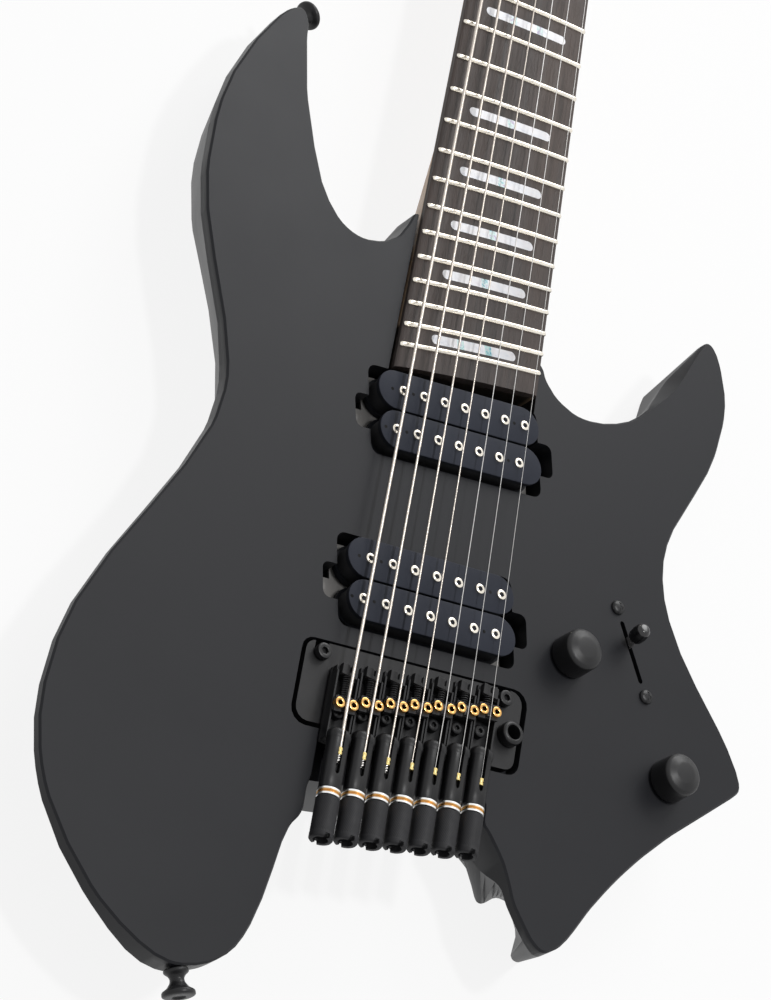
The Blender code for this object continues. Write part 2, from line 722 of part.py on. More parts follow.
def make_neck():
    """A round-backed shaft that squares off into the heel, its ends slanted like the frets."""
    start = across_board(fret_line(FRET_COUNT), -BOARD_END_MARGIN)
    end = head_line(neck_end_distance() - HEAD_OVERHANG)
    heel_y = max(y for _, y in (BODY_POINTS[0][:2], BODY_POINTS[-1][:2]))
    loops = []
    for ring in range(NECK_RINGS + 1):
        part = ring / NECK_RINGS
        (x0, y0), (x1, y1) = [
            tuple(a + (b - a) * part for a, b in zip(start[side], end[side])) for side in (0, 1)
        ]
        middle = (y0 + y1) / 2
        blend = min(max((middle - heel_y) / HEEL_BLEND, 0.0), 1.0)
        blend = blend * blend * (3 - 2 * blend)
        power = HEEL_SQUARENESS + (NECK_ROUNDNESS - HEEL_SQUARENESS) * blend
        taper = NECK_TAPER * blend
        depth = NECK_DEPTH_AT_HEEL + (NECK_DEPTH_AT_NUT - NECK_DEPTH_AT_HEEL) * part
        loop = []
        for step in range(NECK_RING_POINTS + 1):
            angle = math.pi * step / NECK_RING_POINTS
            across = math.copysign(abs(math.cos(angle)) ** (2 / power), -math.cos(angle))
            down = math.sin(angle) ** (2 / power)
            share = (across * (1 - taper * down) + 1) / 2
            loop.append((x0 + (x1 - x0) * share, y0 + (y1 - y0) * share, NECK_TOP - depth * down))
        loops.append(loop)
    neck = rings("neck", loops, finish("Maple", (0.62, 0.42, 0.26), 0.45))
    top = TREBLE_SCALE - ROD_FROM_NUT
    channel = box("rod channel", -ROD_WIDTH / 2, ROD_WIDTH / 2, top - ROD_LENGTH, top,
                  NECK_TOP - ROD_DEPTH, NECK_TOP + 1)
    combine(neck, [channel], "DIFFERENCE")
    gap = CLEARANCE
    box("truss_rod", -ROD_WIDTH / 2 + gap, ROD_WIDTH / 2 - gap, top - ROD_LENGTH + gap, top - gap,
        NECK_TOP - ROD_DEPTH + gap, NECK_TOP - gap, finish("Rod steel", (0.5, 0.5, 0.52), 0.35, 1.0))
    return neck


def box(name, x0, x1, y0, y1, z0, z1, material=None, origin=(0, 0, 0)):
    return prism(name, [(x0, y0), (x1, y0), (x1, y1), (x0, y1)], z0, z1, material, origin)


def strip(start, end):
    """The outline between two lines across the neck."""
    return [start[0], start[1], end[1], end[0]]


def string_ways(name):
    """A clearance hole round every string, from the nut's front edge through the lock."""
    ways = []
    for number in range(STRING_COUNT):
        radius = STRING_DIAMETERS[number] / 2 + CLEARANCE
        ways.append(cylinder(f"{name} {number + 1}", string_over_nut(number), string_fall(number),
                             radius, -OVERCUT, 2 * HEADPIECE_LENGTH, 6))
    return ways


def make_head():
    """The nut, the string lock beyond it and the bar that clamps the strings."""
    black = finish("Black lock metal", (0.03, 0.03, 0.032), 0.4, 0.8)
    bottom = NECK_TOP + CLEARANCE
    nut = prism("nut", strip(head_line(0.0), head_line(NUT_THICKNESS)), bottom,
                BOARD_TOP + NUT_RISE, finish("Nut", (0.04, 0.04, 0.042), 0.5))
    combine(nut, string_ways("nut way"), "DIFFERENCE")
    first = NUT_THICKNESS + CLEARANCE
    last = first + HEADPIECE_LENGTH
    top = BOARD_TOP + HEADPIECE_RISE
    base = prism("headpiece", strip(head_line(first), head_line(last)), bottom, top, black)
    bar_start = first + CLAMP_SETBACK
    bar_end = bar_start + CLAMP_LENGTH
    bed = strip(head_line(bar_start - CLEARANCE), head_line(bar_end + CLEARANCE))
    floor = bottom + HEADPIECE_FLOOR
    cutters = [prism("lock bed", bed, floor, top + OVERCUT)]
    combine(base, cutters + string_ways("lock way"), "DIFFERENCE")
    bar_low = floor + CLEARANCE
    bar = prism("string_clamp", strip(head_line(bar_start), head_line(bar_end)), bar_low,
                bar_low + CLAMP_HEIGHT, finish("Clamp steel", (0.12, 0.12, 0.125), 0.35, 0.9))
    screws = []
    (x0, y0), (x1, y1) = head_line((bar_start + bar_end) / 2)
    for number in range(STRING_COUNT):
        share = (number + 0.5) / STRING_COUNT
        spot = (x0 + (x1 - x0) * share, y0 + (y1 - y0) * share, bar_low + CLAMP_HEIGHT)
        screws.append(cylinder(f"clamp screw {number + 1}", spot, (0, 0, 1), CLAMP_SCREW_RADIUS,
                               -OVERCUT, CLAMP_SCREW_HEIGHT, 10))
    combine(bar, screws, "UNION")
    combine(bar, string_ways("clamp way"), "DIFFERENCE")


def saddle_point(number):
    """Where a string crosses its saddle."""
    x = STRING_HALF_SPREAD - number * STRING_SPACING
    y = -BASS_SADDLE_BACK * number / (STRING_COUNT - 1)
    return x, y, FACE + STRING_OVER_SADDLE_LINE - crown(x)


def string_over_nut(number):
    (x0, y0), (x1, y1) = fret_line(0)
    share = number / (STRING_COUNT - 1)
    x = x1 + (x0 - x1) * share
    return x, y1 + (y0 - y1) * share, BOARD_TOP + STRING_OVER_NUT - crown(x)


def string_fall(number):
    """The direction in which a string leaves the nut for the lock."""
    run = Vector(string_over_nut(number)) - Vector(saddle_point(number))
    run.z = -run.length * STRING_FALL
    return run.normalized()


def ball_centre(number):
    """Where a string's ball end hangs in its puller."""
    return saddle_point(number)[0], BALL_Y - BALL_STEP * number, BARREL_AXIS + BALL_RISE


def make_strings():
    """Each string is one cord from its ball end over the saddle and the nut into the lock."""
    steel = finish("String steel", (0.62, 0.6, 0.56), 0.3, 1.0)
    held = NUT_THICKNESS + CLEARANCE + CLAMP_SETBACK + CLAMP_HOLD
    for number in range(STRING_COUNT):
        radius = STRING_DIAMETERS[number] / 2
        ball = Vector(ball_centre(number))
        half = Vector((0, BALL_LENGTH / 2, 0))
        shoulder = Vector((0, BALL_SHOULDER, 0))
        nut = Vector(string_over_nut(number))
        route = [
            (ball - half, BALL_RADIUS),
            (ball + half, BALL_RADIUS),
            (ball + half + shoulder, radius),
            (Vector(saddle_point(number)), radius),
            (nut, radius),
            (nut + Vector(string_fall(number)) * held, radius),
        ]
        curve = bpy.data.curves.new(f"string_{number + 1}", "CURVE")
        curve.dimensions = "3D"
        curve.bevel_depth = MM
        curve.bevel_resolution = 2
        curve.use_fill_caps = True
        spline = curve.splines.new("POLY")
        spline.points.add(len(route) - 1)
        for point, (place, size) in zip(spline.points, route):
            point.co = (*(place * MM), 1.0)
            point.radius = size
        curve.materials.append(steel)
        cord = bpy.data.objects.new(f"string_{number + 1}", curve)
        bpy.context.scene.collection.objects.link(cord)


def bobbin(name, centre, degrees, material):
    """A spool: a flange at each end and a narrower coil between them."""
    low = FACE + PICKUP_RISE - BOBBIN_HEIGHT
    high = FACE + PICKUP_RISE
    levels = [
        (low, 0.0),
        (low + FLANGE_THICKNESS, 0.0),
        (low + FLANGE_THICKNESS, COIL_INSET),
        (high - FLANGE_THICKNESS, COIL_INSET),
        (high - FLANGE_THICKNESS, 0.0),
        (high, 0.0),
    ]
    loops = []
    for height, inset in levels:
        outline = stadium(centre, degrees, BOBBIN_LENGTH - 2 * inset, BOBBIN_WIDTH - 2 * inset)
        loops.append([(x, y, height) for x, y in outline])
    return rings(name, loops, material)


def make_pickup(name, pickup, pole_spread):
    """A baseplate with its height screws, and the two bobbins that stand on it."""
    x, y, degrees = pickup
    half = PICKUP_CAVITY_LENGTH / 2 - BASEPLATE_MARGIN
    deep = PICKUP_CAVITY_WIDTH / 2 - BASEPLATE_MARGIN
    reach = EAR_TAB_REACH
    low = -PICKUP_EAR_SHIFT - EAR_TAB_WIDTH / 2
    high = low + EAR_TAB_WIDTH
    corners = [
        (-half, -deep), (half, -deep), (half, low), (reach, low), (reach, high), (half, high),
        (half, deep), (-half, deep), (-half, high), (-reach, high), (-reach, low), (-half, low),
    ]
    turn = Matrix.Rotation(math.radians(degrees), 2)
    outline = [tuple(Vector((x, y)) + turn @ Vector(corner)) for corner in corners]
    plate = prism(f"{name}_baseplate", outline, BASEPLATE_TOP - BASEPLATE_THICKNESS, BASEPLATE_TOP,
                  finish("Nickel baseplate", (0.55, 0.54, 0.5), 0.35, 1.0))
    screws = []
    for side in (-1, 1):
        spot = Vector((x, y)) + turn @ Vector((side * PICKUP_SCREW_SPREAD, -PICKUP_EAR_SHIFT))
        screws.append(cylinder(f"{name} screw {side}", (*spot, 0), (0, 0, 1), PICKUP_SCREW_RADIUS,
                               CAVITY_FLOOR + CLEARANCE, BASEPLATE_TOP + PICKUP_SCREW_RADIUS, 12))
    combine(plate, screws, "UNION")
    plastic = finish("Black bobbin", (0.02, 0.02, 0.021), 0.35)
    pair = []
    for side in (-1, 1):
        middle = Vector((x, y)) + turn @ Vector((0, side * PICKUP_ROWS / 2))
        pair.append((middle, "_bobbins" if side < 0 else " bobbin"))
    coils = [bobbin(name + ending, middle, degrees, plastic) for middle, ending in pair]
    low = FACE + PICKUP_RISE - BOBBIN_HEIGHT + FLOOR_STEP
    bridge = turned_box((x, y), degrees, -SPACER_LENGTH / 2, SPACER_LENGTH / 2,
                        -SPACER_WIDTH / 2, SPACER_WIDTH / 2)
    joined = [coils[1], prism(f"{name} spacer", bridge, low, low + SPACER_HEIGHT)]
    for row, (middle, _) in enumerate(pair):
        for number in range(STRING_COUNT):
            along = pole_spread * (number / (STRING_COUNT - 1) - 0.5)
            spot = middle + turn @ Vector((along / math.cos(math.radians(degrees)), 0))
            joined.append(cylinder(f"{name} pole {row} {number}", (*spot, FACE + PICKUP_RISE),
                                   (0, 0, 1), POLE_RADIUS, -OVERCUT, POLE_RISE, 8))
    combine(coils[0], joined, "UNION")


def slanted(left, right, behind, ahead):
    """Corners between two upright lines and two lines along the tremolo's slant."""
    return [on_slant(left, behind), on_slant(right, behind), on_slant(right, ahead), on_slant(left, ahead)]


def stud_place(side):
    return on_slant(side * PIVOT_HALF_SPREAD, 0.0)


def make_tremolo():
    """The knife-edge plate, its block, the two studs that it rocks on and the arm's socket."""
    black = finish("Black tremolo metal", (0.03, 0.03, 0.032), 0.4, 0.8)
    outline = rounded(slanted(PLATE_LEFT, PLATE_RIGHT, PLATE_REAR, PLATE_FRONT), PLATE_CORNER)
    plate = prism("tremolo_plate", outline, PLATE_BOTTOM, PLATE_TOP, black, PIVOT)
    low, high = PLATE_BOTTOM - OVERCUT, PLATE_TOP + OVERCUT
    gap = STUD_NECK_RADIUS + STUD_NOTCH_GAP
    cutters = [cylinder("arm hole", (*ARM_SOCKET_PLACE, 0), (0, 0, 1), ARM_SOCKET_STEM + CLEARANCE,
                        low, high, 20)]
    for side in (-1, 1):
        x, y = stud_place(side)
        reach = PLATE_FRONT + OVERCUT + gap
        cutters.append(prism(f"stud notch {side}", stadium((x, y + reach / 2), 90, reach + 2 * gap,
                                                           2 * gap), low, high))
        profile = [
            (0, RECESS_FLOOR - STUD_DEPTH),
            (STUD_HEAD_RADIUS, RECESS_FLOOR - STUD_DEPTH),
            (STUD_HEAD_RADIUS, PLATE_BOTTOM - STUD_TILT_ROOM),
            (STUD_NECK_RADIUS, PLATE_BOTTOM - STUD_TILT_ROOM),
            (STUD_NECK_RADIUS, PLATE_TOP + STUD_TILT_ROOM),
            (STUD_HEAD_RADIUS, PLATE_TOP + STUD_TILT_ROOM),
            (STUD_HEAD_RADIUS, FACE + STUD_HEAD_RISE),
            (STUD_SOCKET_RADIUS, FACE + STUD_HEAD_RISE),
            (STUD_SOCKET_RADIUS, FACE + STUD_HEAD_RISE - STUD_SOCKET_DEPTH),
            (0, FACE + STUD_HEAD_RISE - STUD_SOCKET_DEPTH),
        ]
        ending = "bass" if side < 0 else "treble"
        turned(f"pivot_stud_{ending}", profile, (x, y, 0), (0, 0, 1), 14, black)
    combine(plate, cutters, "DIFFERENCE")
    half = BLOCK_LENGTH / 2
    prism("tremolo_block", slanted(-half, half, BLOCK_REAR, BLOCK_FRONT), BLOCK_BOTTOM,
          PLATE_BOTTOM - CLEARANCE, finish("Block brass", (0.45, 0.36, 0.2), 0.4, 1.0), PIVOT)
    top = FACE - PLATE_DEPTH_IN_BODY + ARM_SOCKET_RISE
    profile = [
        (0, PLATE_BOTTOM - ARM_SOCKET_BELOW_PLATE),
        (ARM_SOCKET_STEM, PLATE_BOTTOM - ARM_SOCKET_BELOW_PLATE),
        (ARM_SOCKET_STEM, MODULE_BOTTOM),
        (ARM_SOCKET_RADIUS, MODULE_BOTTOM),
        (ARM_SOCKET_RADIUS, top),
        (ARM_SOCKET_BORE, top),
        (ARM_SOCKET_BORE, top - ARM_SOCKET_BORE_DEPTH),
        (0, top - ARM_SOCKET_BORE_DEPTH),
    ]
    turned("arm_socket", profile, (*ARM_SOCKET_PLACE, 0), (0, 0, 1), 20, black)


def make_modules():
    """The row of string modules: open troughs in front, slotted barrels behind."""
    black = finish("Black module metal", (0.035, 0.035, 0.037), 0.4, 0.8)
    half = MODULE_WIDTH / 2
    front = MODULE_FRONT - SLAB_INSET
    back = BARREL_FRONT - SLAB_LAP
    slope = MODULE_STEP / STRING_SPACING
    edge = STRING_HALF_SPREAD + half - FLOOR_STEP
    ends = [-edge, edge]
    lift = [(x - STRING_HALF_SPREAD) * slope for x in ends]
    slab = [(ends[0], back + lift[0]), (ends[1], back + lift[1]),
            (ends[1], front + lift[1]), (ends[0], front + lift[0])]
    row = prism("tuner_modules", slab, MODULE_BOTTOM + FLOOR_STEP,
                MODULE_BOTTOM + MODULE_FLOOR - FLOOR_STEP, black, PIVOT)
    added, cut = [], []
    for number in range(STRING_COUNT):
        x = saddle_point(number)[0]
        back_step = MODULE_STEP * number
        start, end = MODULE_FRONT - back_step, BARREL_FRONT - back_step
        axis = Vector((x, end, BARREL_AXIS))
        name = f"module {number + 1}"
        added.append(box(name, x - half, x + half, end - SLAB_LAP, start, MODULE_BOTTOM,
                         MODULE_BOTTOM + MODULE_HEIGHT))
        added.append(cylinder(name + " barrel", axis, (0, -1, 0), BARREL_RADIUS, 0.0,
                              BARREL_LENGTH, 16))
        inner = half - MODULE_WALL
        cut.append(box(name + " trough", x - inner, x + inner, end + FLOOR_STEP, start - FRONT_WALL,
                       MODULE_BOTTOM + MODULE_FLOOR, MODULE_BOTTOM + MODULE_HEIGHT + OVERCUT))
        cut.append(cylinder(name + " bore", axis, (0, -1, 0), BARREL_BORE, BARREL_MOUTH,
                            BARREL_LENGTH + OVERCUT, 12))
        cut.append(box(name + " slot", x - SLOT_WIDTH / 2, x + SLOT_WIDTH / 2, end - SLOT_LENGTH,
                       end + OVERCUT, BARREL_AXIS + SLOT_FLOOR_RISE,
                       BARREL_AXIS + BARREL_RADIUS + OVERCUT))
    combine(row, added, "UNION")
    combine(row, cut, "DIFFERENCE")


def make_string_hardware():
    """For each string its saddle, the puller that holds its ball end and the knob that draws it."""
    brass = finish("Saddle steel", (0.08, 0.08, 0.082), 0.4, 0.9)
    dark = finish("Black tuner metal", (0.03, 0.03, 0.032), 0.35, 0.8)
    steel = finish("Puller steel", (0.3, 0.3, 0.31), 0.35, 1.0)
    for number in range(STRING_COUNT):
        label = number + 1
        x, y, z = saddle_point(number)
        top = z - STRING_DIAMETERS[number] / 2 - SADDLE_STRING_GAP
        low = MODULE_BOTTOM + MODULE_FLOOR + CLEARANCE
        rim = MODULE_BOTTOM + MODULE_HEIGHT + CLEARANCE
        half = SADDLE_WIDTH / 2
        saddle = box(f"saddle_{label}", x - half, x + half, y - SADDLE_BEHIND + CLEARANCE,
                     y + SADDLE_AHEAD - CLEARANCE, low, rim + FLOOR_STEP, brass, (x, y, low))
        section = [
            (-SADDLE_BEHIND, rim), (SADDLE_AHEAD, rim), (SADDLE_AHEAD, top - SADDLE_FALL),
            (SADDLE_CREST, top), (-SADDLE_CREST, top), (-SADDLE_BEHIND, top - SADDLE_FALL),
        ]
        loops = []
        for side in (-1, 1):
            aside = side * SADDLE_HEAD_WIDTH / 2
            lead = y + aside * math.tan(SLANT)
            loops.append([(x + aside, lead + along, up) for along, up in section])
        added = [rings(f"saddle {label} head", loops)]
        for side in (-1, 1):
            aside = side * HEIGHT_SCREW_SPREAD / 2
            spot = (x + aside, y + HEIGHT_SCREW_AHEAD + aside * math.tan(SLANT), z)
            added.append(cylinder(f"saddle {label} screw {side}", spot, (0, 0, 1),
                                  HEIGHT_SCREW_RADIUS, -HEIGHT_SCREW_LENGTH, 0.0, 8))
        combine(saddle, added, "UNION")

        ball = ball_centre(number)
        axis = Vector((x, ball[1], BARREL_AXIS))
        puller = cylinder(f"string_puller_{label}", axis, (0, -1, 0), PULLER_RADIUS, -PULLER_AHEAD,
                          PULLER_BEHIND, 10, steel)
        seat = BALL_LENGTH / 2 + CLEARANCE
        hook_start = ball[1] - seat - CLEARANCE
        hook = box(f"puller {label} hook", x - HOOK_WIDTH / 2, x + HOOK_WIDTH / 2,
                   hook_start - HOOK_LENGTH, hook_start, BARREL_AXIS + PULLER_RADIUS / 2,
                   BARREL_AXIS + HOOK_RISE)
        combine(puller, [hook], "UNION")
        wide = BALL_RADIUS + CLEARANCE
        thin = STRING_DIAMETERS[number] / 2 + CLEARANCE
        above = BARREL_AXIS + BARREL_RADIUS
        cuts = [
            box(f"puller {label} seat", x - wide, x + wide, ball[1] - seat, ball[1] + seat,
                ball[2] - wide, above),
            box(f"puller {label} way", x - thin, x + thin, ball[1],
                ball[1] + PULLER_AHEAD + OVERCUT, ball[2] - thin, above),
            cylinder(f"puller {label} bore", axis, (0, -1, 0), KNOB_ROD_RADIUS + ROD_GAP,
                     PULLER_BEHIND - PULLER_BORE_DEPTH, PULLER_BEHIND + OVERCUT, 8),
        ]
        combine(puller, cuts, "DIFFERENCE")

        tip = ball[1] - PULLER_BEHIND + ROD_ENGAGEMENT
        washer = BARREL_END - MODULE_STEP * number - CLEARANCE
        centre = Vector((x, washer, BARREL_AXIS))
        grip = WASHER_LENGTH + WASHER_GROOVE
        profile = [
            (0, washer - tip),
            (KNOB_ROD_RADIUS, washer - tip),
            (KNOB_ROD_RADIUS, 0),
            (WASHER_RADIUS, 0),
            (WASHER_RADIUS, WASHER_LENGTH),
            (WASHER_RADIUS - WASHER_GROOVE, WASHER_LENGTH),
            (WASHER_RADIUS - WASHER_GROOVE, grip),
            (KNOB_RADIUS, grip),
            (KNOB_RADIUS, grip + KNOB_LENGTH - KNOB_BEVEL),
            (KNOB_RADIUS - KNOB_BEVEL, grip + KNOB_LENGTH),
            (0, grip + KNOB_LENGTH),
        ]
        turned(f"tuner_knob_{label}", profile, centre, (0, -1, 0), 14, dark)


def well_outline(grow):
    """The spring well and the block's hole as one outline, grown by a margin all round."""
    half = SPRING_WELL_HALF_WIDTH + grow
    back = BLOCK_REAR - BLOCK_SWING_REAR - grow
    corners = [on_slant(-half, back), on_slant(half, back),
               (half, SPRING_WELL_HEAD + grow), (-half, SPRING_WELL_HEAD + grow)]
    return rounded(corners, WELL_CORNER)


def hull(circles, steps=16):
    """The convex outline round circles of x, y and radius."""
    points = set()
    for x, y, radius in circles:
        for step in range(steps):
            angle = 2 * math.pi * step / steps
            points.add((x + radius * math.cos(angle), y + radius * math.sin(angle)))
    halves = []
    for ordered in (sorted(points), sorted(points, reverse=True)):
        chain = []
        for point in ordered:
            while len(chain) > 1:
                (ax, ay), (bx, by) = chain[-2:]
                if (bx - ax) * (point[1] - ay) - (by - ay) * (point[0] - ax) > 0:
                    break
                chain.pop()
            chain.append(point)
        halves += chain[:-1]
    return halves


def selector_end(side, reach=SELECTOR_BODY_LENGTH / 2):
    angle = math.radians(SELECTOR_DEGREES)
    x, y = SELECTOR_PLACE
    return x + side * reach * math.cos(angle), y + side * reach * math.sin(angle)


def control_outline(grow):
    """The control well round the pots and the selector, grown by a margin."""
    pot = POT_RADIUS + CONTROL_WELL_ROOM + grow
    end = SELECTOR_BODY_WIDTH / 2 + CONTROL_WELL_ROOM + grow
    circles = [(*VOLUME_PLACE, pot), (*TONE_PLACE, pot)]
    circles += [(*selector_end(side), end) for side in (-1, 1)]
    return hull(circles)


def make_springs():
    """The claw screwed into the well's end, the springs from it to the block and both covers."""
    steel = finish("Spring steel", (0.5, 0.5, 0.5), 0.35, 1.0)
    claw_low = SPRING_HEIGHT - CLAW_HEIGHT / 2
    claw = box("spring_claw", -CLAW_LENGTH / 2, CLAW_LENGTH / 2, CLAW_Y, CLAW_Y + CLAW_THICKNESS,
               claw_low, claw_low + CLAW_HEIGHT, finish("Claw steel", (0.45, 0.45, 0.46), 0.4, 1.0))
    screws = []
    for side in (-1, 1):
        profile = [
            (0, -CLAW_SCREW_HEAD),
            (CLAW_SCREW_HEAD_RADIUS, -CLAW_SCREW_HEAD),
            (CLAW_SCREW_HEAD_RADIUS, FLOOR_STEP),
            (CLAW_SCREW_RADIUS, FLOOR_STEP),
            (CLAW_SCREW_RADIUS, CLAW_SCREW_LENGTH),
            (0, CLAW_SCREW_LENGTH),
        ]
        screws.append(turned(f"claw screw {side}", profile,
                             (side * CLAW_SCREW_SPREAD / 2, CLAW_Y, SPRING_HEIGHT), (0, 1, 0), 12))
    combine(claw, screws, "UNION")
    for number in range(SPRING_COUNT):
        x = (number - (SPRING_COUNT - 1) / 2) * SPRING_PITCH
        y = on_slant(x, BLOCK_FRONT)[1] + SPRING_END_GAP
        length = CLAW_Y - SPRING_END_GAP - y
        near, far = SPRING_HOOK_LENGTH, length - SPRING_HOOK_LENGTH
        profile = [
            (0, 0),
            (SPRING_HOOK_RADIUS, 0),
            (SPRING_HOOK_RADIUS, near),
            (SPRING_RADIUS, near + SPRING_SHOULDER),
            (SPRING_RADIUS, far - SPRING_SHOULDER),
            (SPRING_HOOK_RADIUS, far),
            (SPRING_HOOK_RADIUS, length),
            (0, length),
        ]
        turned(f"tremolo_spring_{number + 1}", profile, (x, y, SPRING_HEIGHT), (0, 1, 0),
               SPRING_SIDES, steel)
    plastic = finish("Black cover", (0.025, 0.025, 0.026), 0.5)
    inside = COVER_LEDGE - CLEARANCE
    prism("tremolo_cover", well_outline(inside), 0.0, COVER_THICKNESS, plastic)
    prism("control_cover", control_outline(inside), 0.0, COVER_THICKNESS, plastic)


def make_controls():
    """The two pots with their knobs and the blade selector."""
    black = finish("Black knob metal", (0.03, 0.03, 0.032), 0.35, 0.8)
    can = finish("Pot can", (0.5, 0.5, 0.48), 0.4, 1.0)
    bottom = FACE + CONTROL_KNOB_LIFT
    top = bottom + CONTROL_KNOB_HEIGHT - CONTROL_KNOB_DOME
    bore = POT_SHAFT_RADIUS + CLEARANCE
    for name, place in (("volume", VOLUME_PLACE), ("tone", TONE_PLACE)):
        spot = (*place, 0)
        profile = [
            (0, POT_TOP - POT_HEIGHT),
            (POT_RADIUS, POT_TOP - POT_HEIGHT),
            (POT_RADIUS, POT_TOP),
            (POT_BUSH_RADIUS, POT_TOP),
            (POT_BUSH_RADIUS, FACE + POT_BUSH_RISE),
            (POT_SHAFT_RADIUS, FACE + POT_BUSH_RISE),
            (POT_SHAFT_RADIUS, bottom + CONTROL_KNOB_BORE_DEPTH - CLEARANCE),
            (0, bottom + CONTROL_KNOB_BORE_DEPTH - CLEARANCE),
        ]
        turned(f"{name}_pot", profile, spot, (0, 0, 1), 16, can)
        profile = [
            (0, bottom + CONTROL_KNOB_BORE_DEPTH),
            (bore, bottom + CONTROL_KNOB_BORE_DEPTH),
            (bore, bottom),
            (CONTROL_KNOB_RADIUS, bottom),
            (CONTROL_KNOB_TOP_RADIUS, top - CONTROL_KNOB_EDGE),
            (CONTROL_KNOB_TOP_RADIUS - CONTROL_KNOB_EDGE, top),
            (CONTROL_KNOB_TOP_RADIUS / 2, top + CONTROL_KNOB_DOME * 3 / 4),
            (0, top + CONTROL_KNOB_DOME),
        ]
        turned(f"{name}_knob", profile, spot, (0, 0, 1), 24, black)

    half = SELECTOR_BODY_LENGTH / 2
    wide = SELECTOR_BODY_WIDTH / 2
    low = POT_TOP - SELECTOR_BODY_DEPTH
    switch = prism("selector_switch",
                   turned_box(SELECTOR_PLACE, SELECTOR_DEGREES, -half, half, -wide, wide), low,
                   POT_TOP, finish("Selector frame", (0.25, 0.25, 0.25), 0.4, 0.9))
    groove = SELECTOR_GROOVE_WIDTH / 2
    reach = SELECTOR_SLOT_LENGTH / 2
    combine(switch, [prism("selector groove",
                           turned_box(SELECTOR_PLACE, SELECTOR_DEGREES, -reach, reach, -groove, groove),
                           low + SELECTOR_GROOVE_FLOOR, POT_TOP + OVERCUT)], "DIFFERENCE")
    angle = math.radians(SELECTOR_DEGREES)
    along = Vector((math.cos(angle), math.sin(angle), 0))
    across = Vector((-along.y, along.x, 0))
    pivot = Vector((*SELECTOR_PLACE, LEVER_PIVOT))
    added = [cylinder("selector pin", pivot, across, SELECTOR_PIN_RADIUS, -groove - OVERCUT,
                      groove + OVERCUT, 12)]
    for side in (-1, 1):
        spot = (*selector_end(side, SELECTOR_SCREW_SPREAD / 2), 0)
        profile = [
            (0, POT_TOP - OVERCUT),
            (SELECTOR_SCREW_RADIUS, POT_TOP - OVERCUT),
            (SELECTOR_SCREW_RADIUS, FACE + CLEARANCE),
            (SELECTOR_SCREW_HEAD_RADIUS, FACE + CLEARANCE),
            (SELECTOR_SCREW_HEAD_RADIUS, FACE + CLEARANCE + SELECTOR_SCREW_HEAD / 2),
            (SELECTOR_SCREW_HEAD_RADIUS / 2, FACE + CLEARANCE + SELECTOR_SCREW_HEAD),
            (0, FACE + CLEARANCE + SELECTOR_SCREW_HEAD),
        ]
        added.append(turned(f"selector screw {side}", profile, spot, (0, 0, 1), 14))
    combine(switch, added, "UNION")

    lean = math.radians(LEVER_REST_DEGREES)
    up = Vector((0, 0, math.cos(lean))) - along * math.sin(lean)
    level = along * math.cos(lean) + Vector((0, 0, math.sin(lean)))
    foot = LEVER_WIDTH / 2
    reach = (LEVER_PIVOT_DEPTH + LEVER_RISE) / math.cos(lean)
    section = []
    for step in range(LEVER_FOOT_STEPS + 1):
        turn = math.pi + math.pi * step / LEVER_FOOT_STEPS
        section.append((foot * math.cos(turn), foot * math.sin(turn)))
    section += [(foot, reach - LEVER_TIP_LENGTH / 2), (-foot, reach - LEVER_TIP_LENGTH / 2)]
    loops = []
    for side in (-1, 1):
        offset = pivot + across * side * LEVER_THICKNESS / 2
        loops.append([offset + level * u + up * rise for u, rise in section])
    lever = rings("selector_lever", loops, black, pivot)
    start = reach - LEVER_TIP_LENGTH
    profile = [
        (0, start),
        (LEVER_TIP_RADIUS - CLEARANCE, start),
        (LEVER_TIP_RADIUS, start + OVERCUT),
        (LEVER_TIP_RADIUS, reach - OVERCUT),
        (LEVER_TIP_RADIUS / 2, reach),
        (0, reach),
    ]
    combine(lever, [turned("lever tip", profile, pivot, up, 16)], "UNION")
    combine(lever, [cylinder("lever hole", pivot, across, SELECTOR_PIN_RADIUS + CLEARANCE,
                             -LEVER_WIDTH, LEVER_WIDTH, 12)], "DIFFERENCE")


def make_jack():
    """The output socket, sunk into the thin strings' side of the body."""
    seat = Vector(JACK_PLACE) - Vector(JACK_DIRECTION).normalized() * JACK_SEAT_DEPTH
    flange = CLEARANCE + JACK_FLANGE_THICKNESS
    profile = [
        (0, -JACK_LENGTH),
        (JACK_RADIUS, -JACK_LENGTH),
        (JACK_RADIUS, CLEARANCE),
        (JACK_FLANGE_RADIUS, CLEARANCE),
        (JACK_FLANGE_RADIUS, flange),
        (JACK_BORE, flange),
        (JACK_BORE, flange - JACK_BORE_DEPTH),
        (0, flange - JACK_BORE_DEPTH),
    ]
    turned("output_jack", profile, seat, JACK_DIRECTION, 20,
           finish("Jack nickel", (0.5, 0.49, 0.47), 0.3, 1.0))


def button_seat(button):
    """The place on the body's edge nearest a strap button, and the way straight out of it."""
    place, inward, _, _, _ = body_edge()
    nearest = int(np.argmin(np.hypot(place[:, 0] - button[0], place[:, 1] - button[1])))
    x, y = place[nearest]
    out = Vector((-inward[nearest, 0], -inward[nearest, 1], 0.0))
    return Vector((x, y, button[2])), out


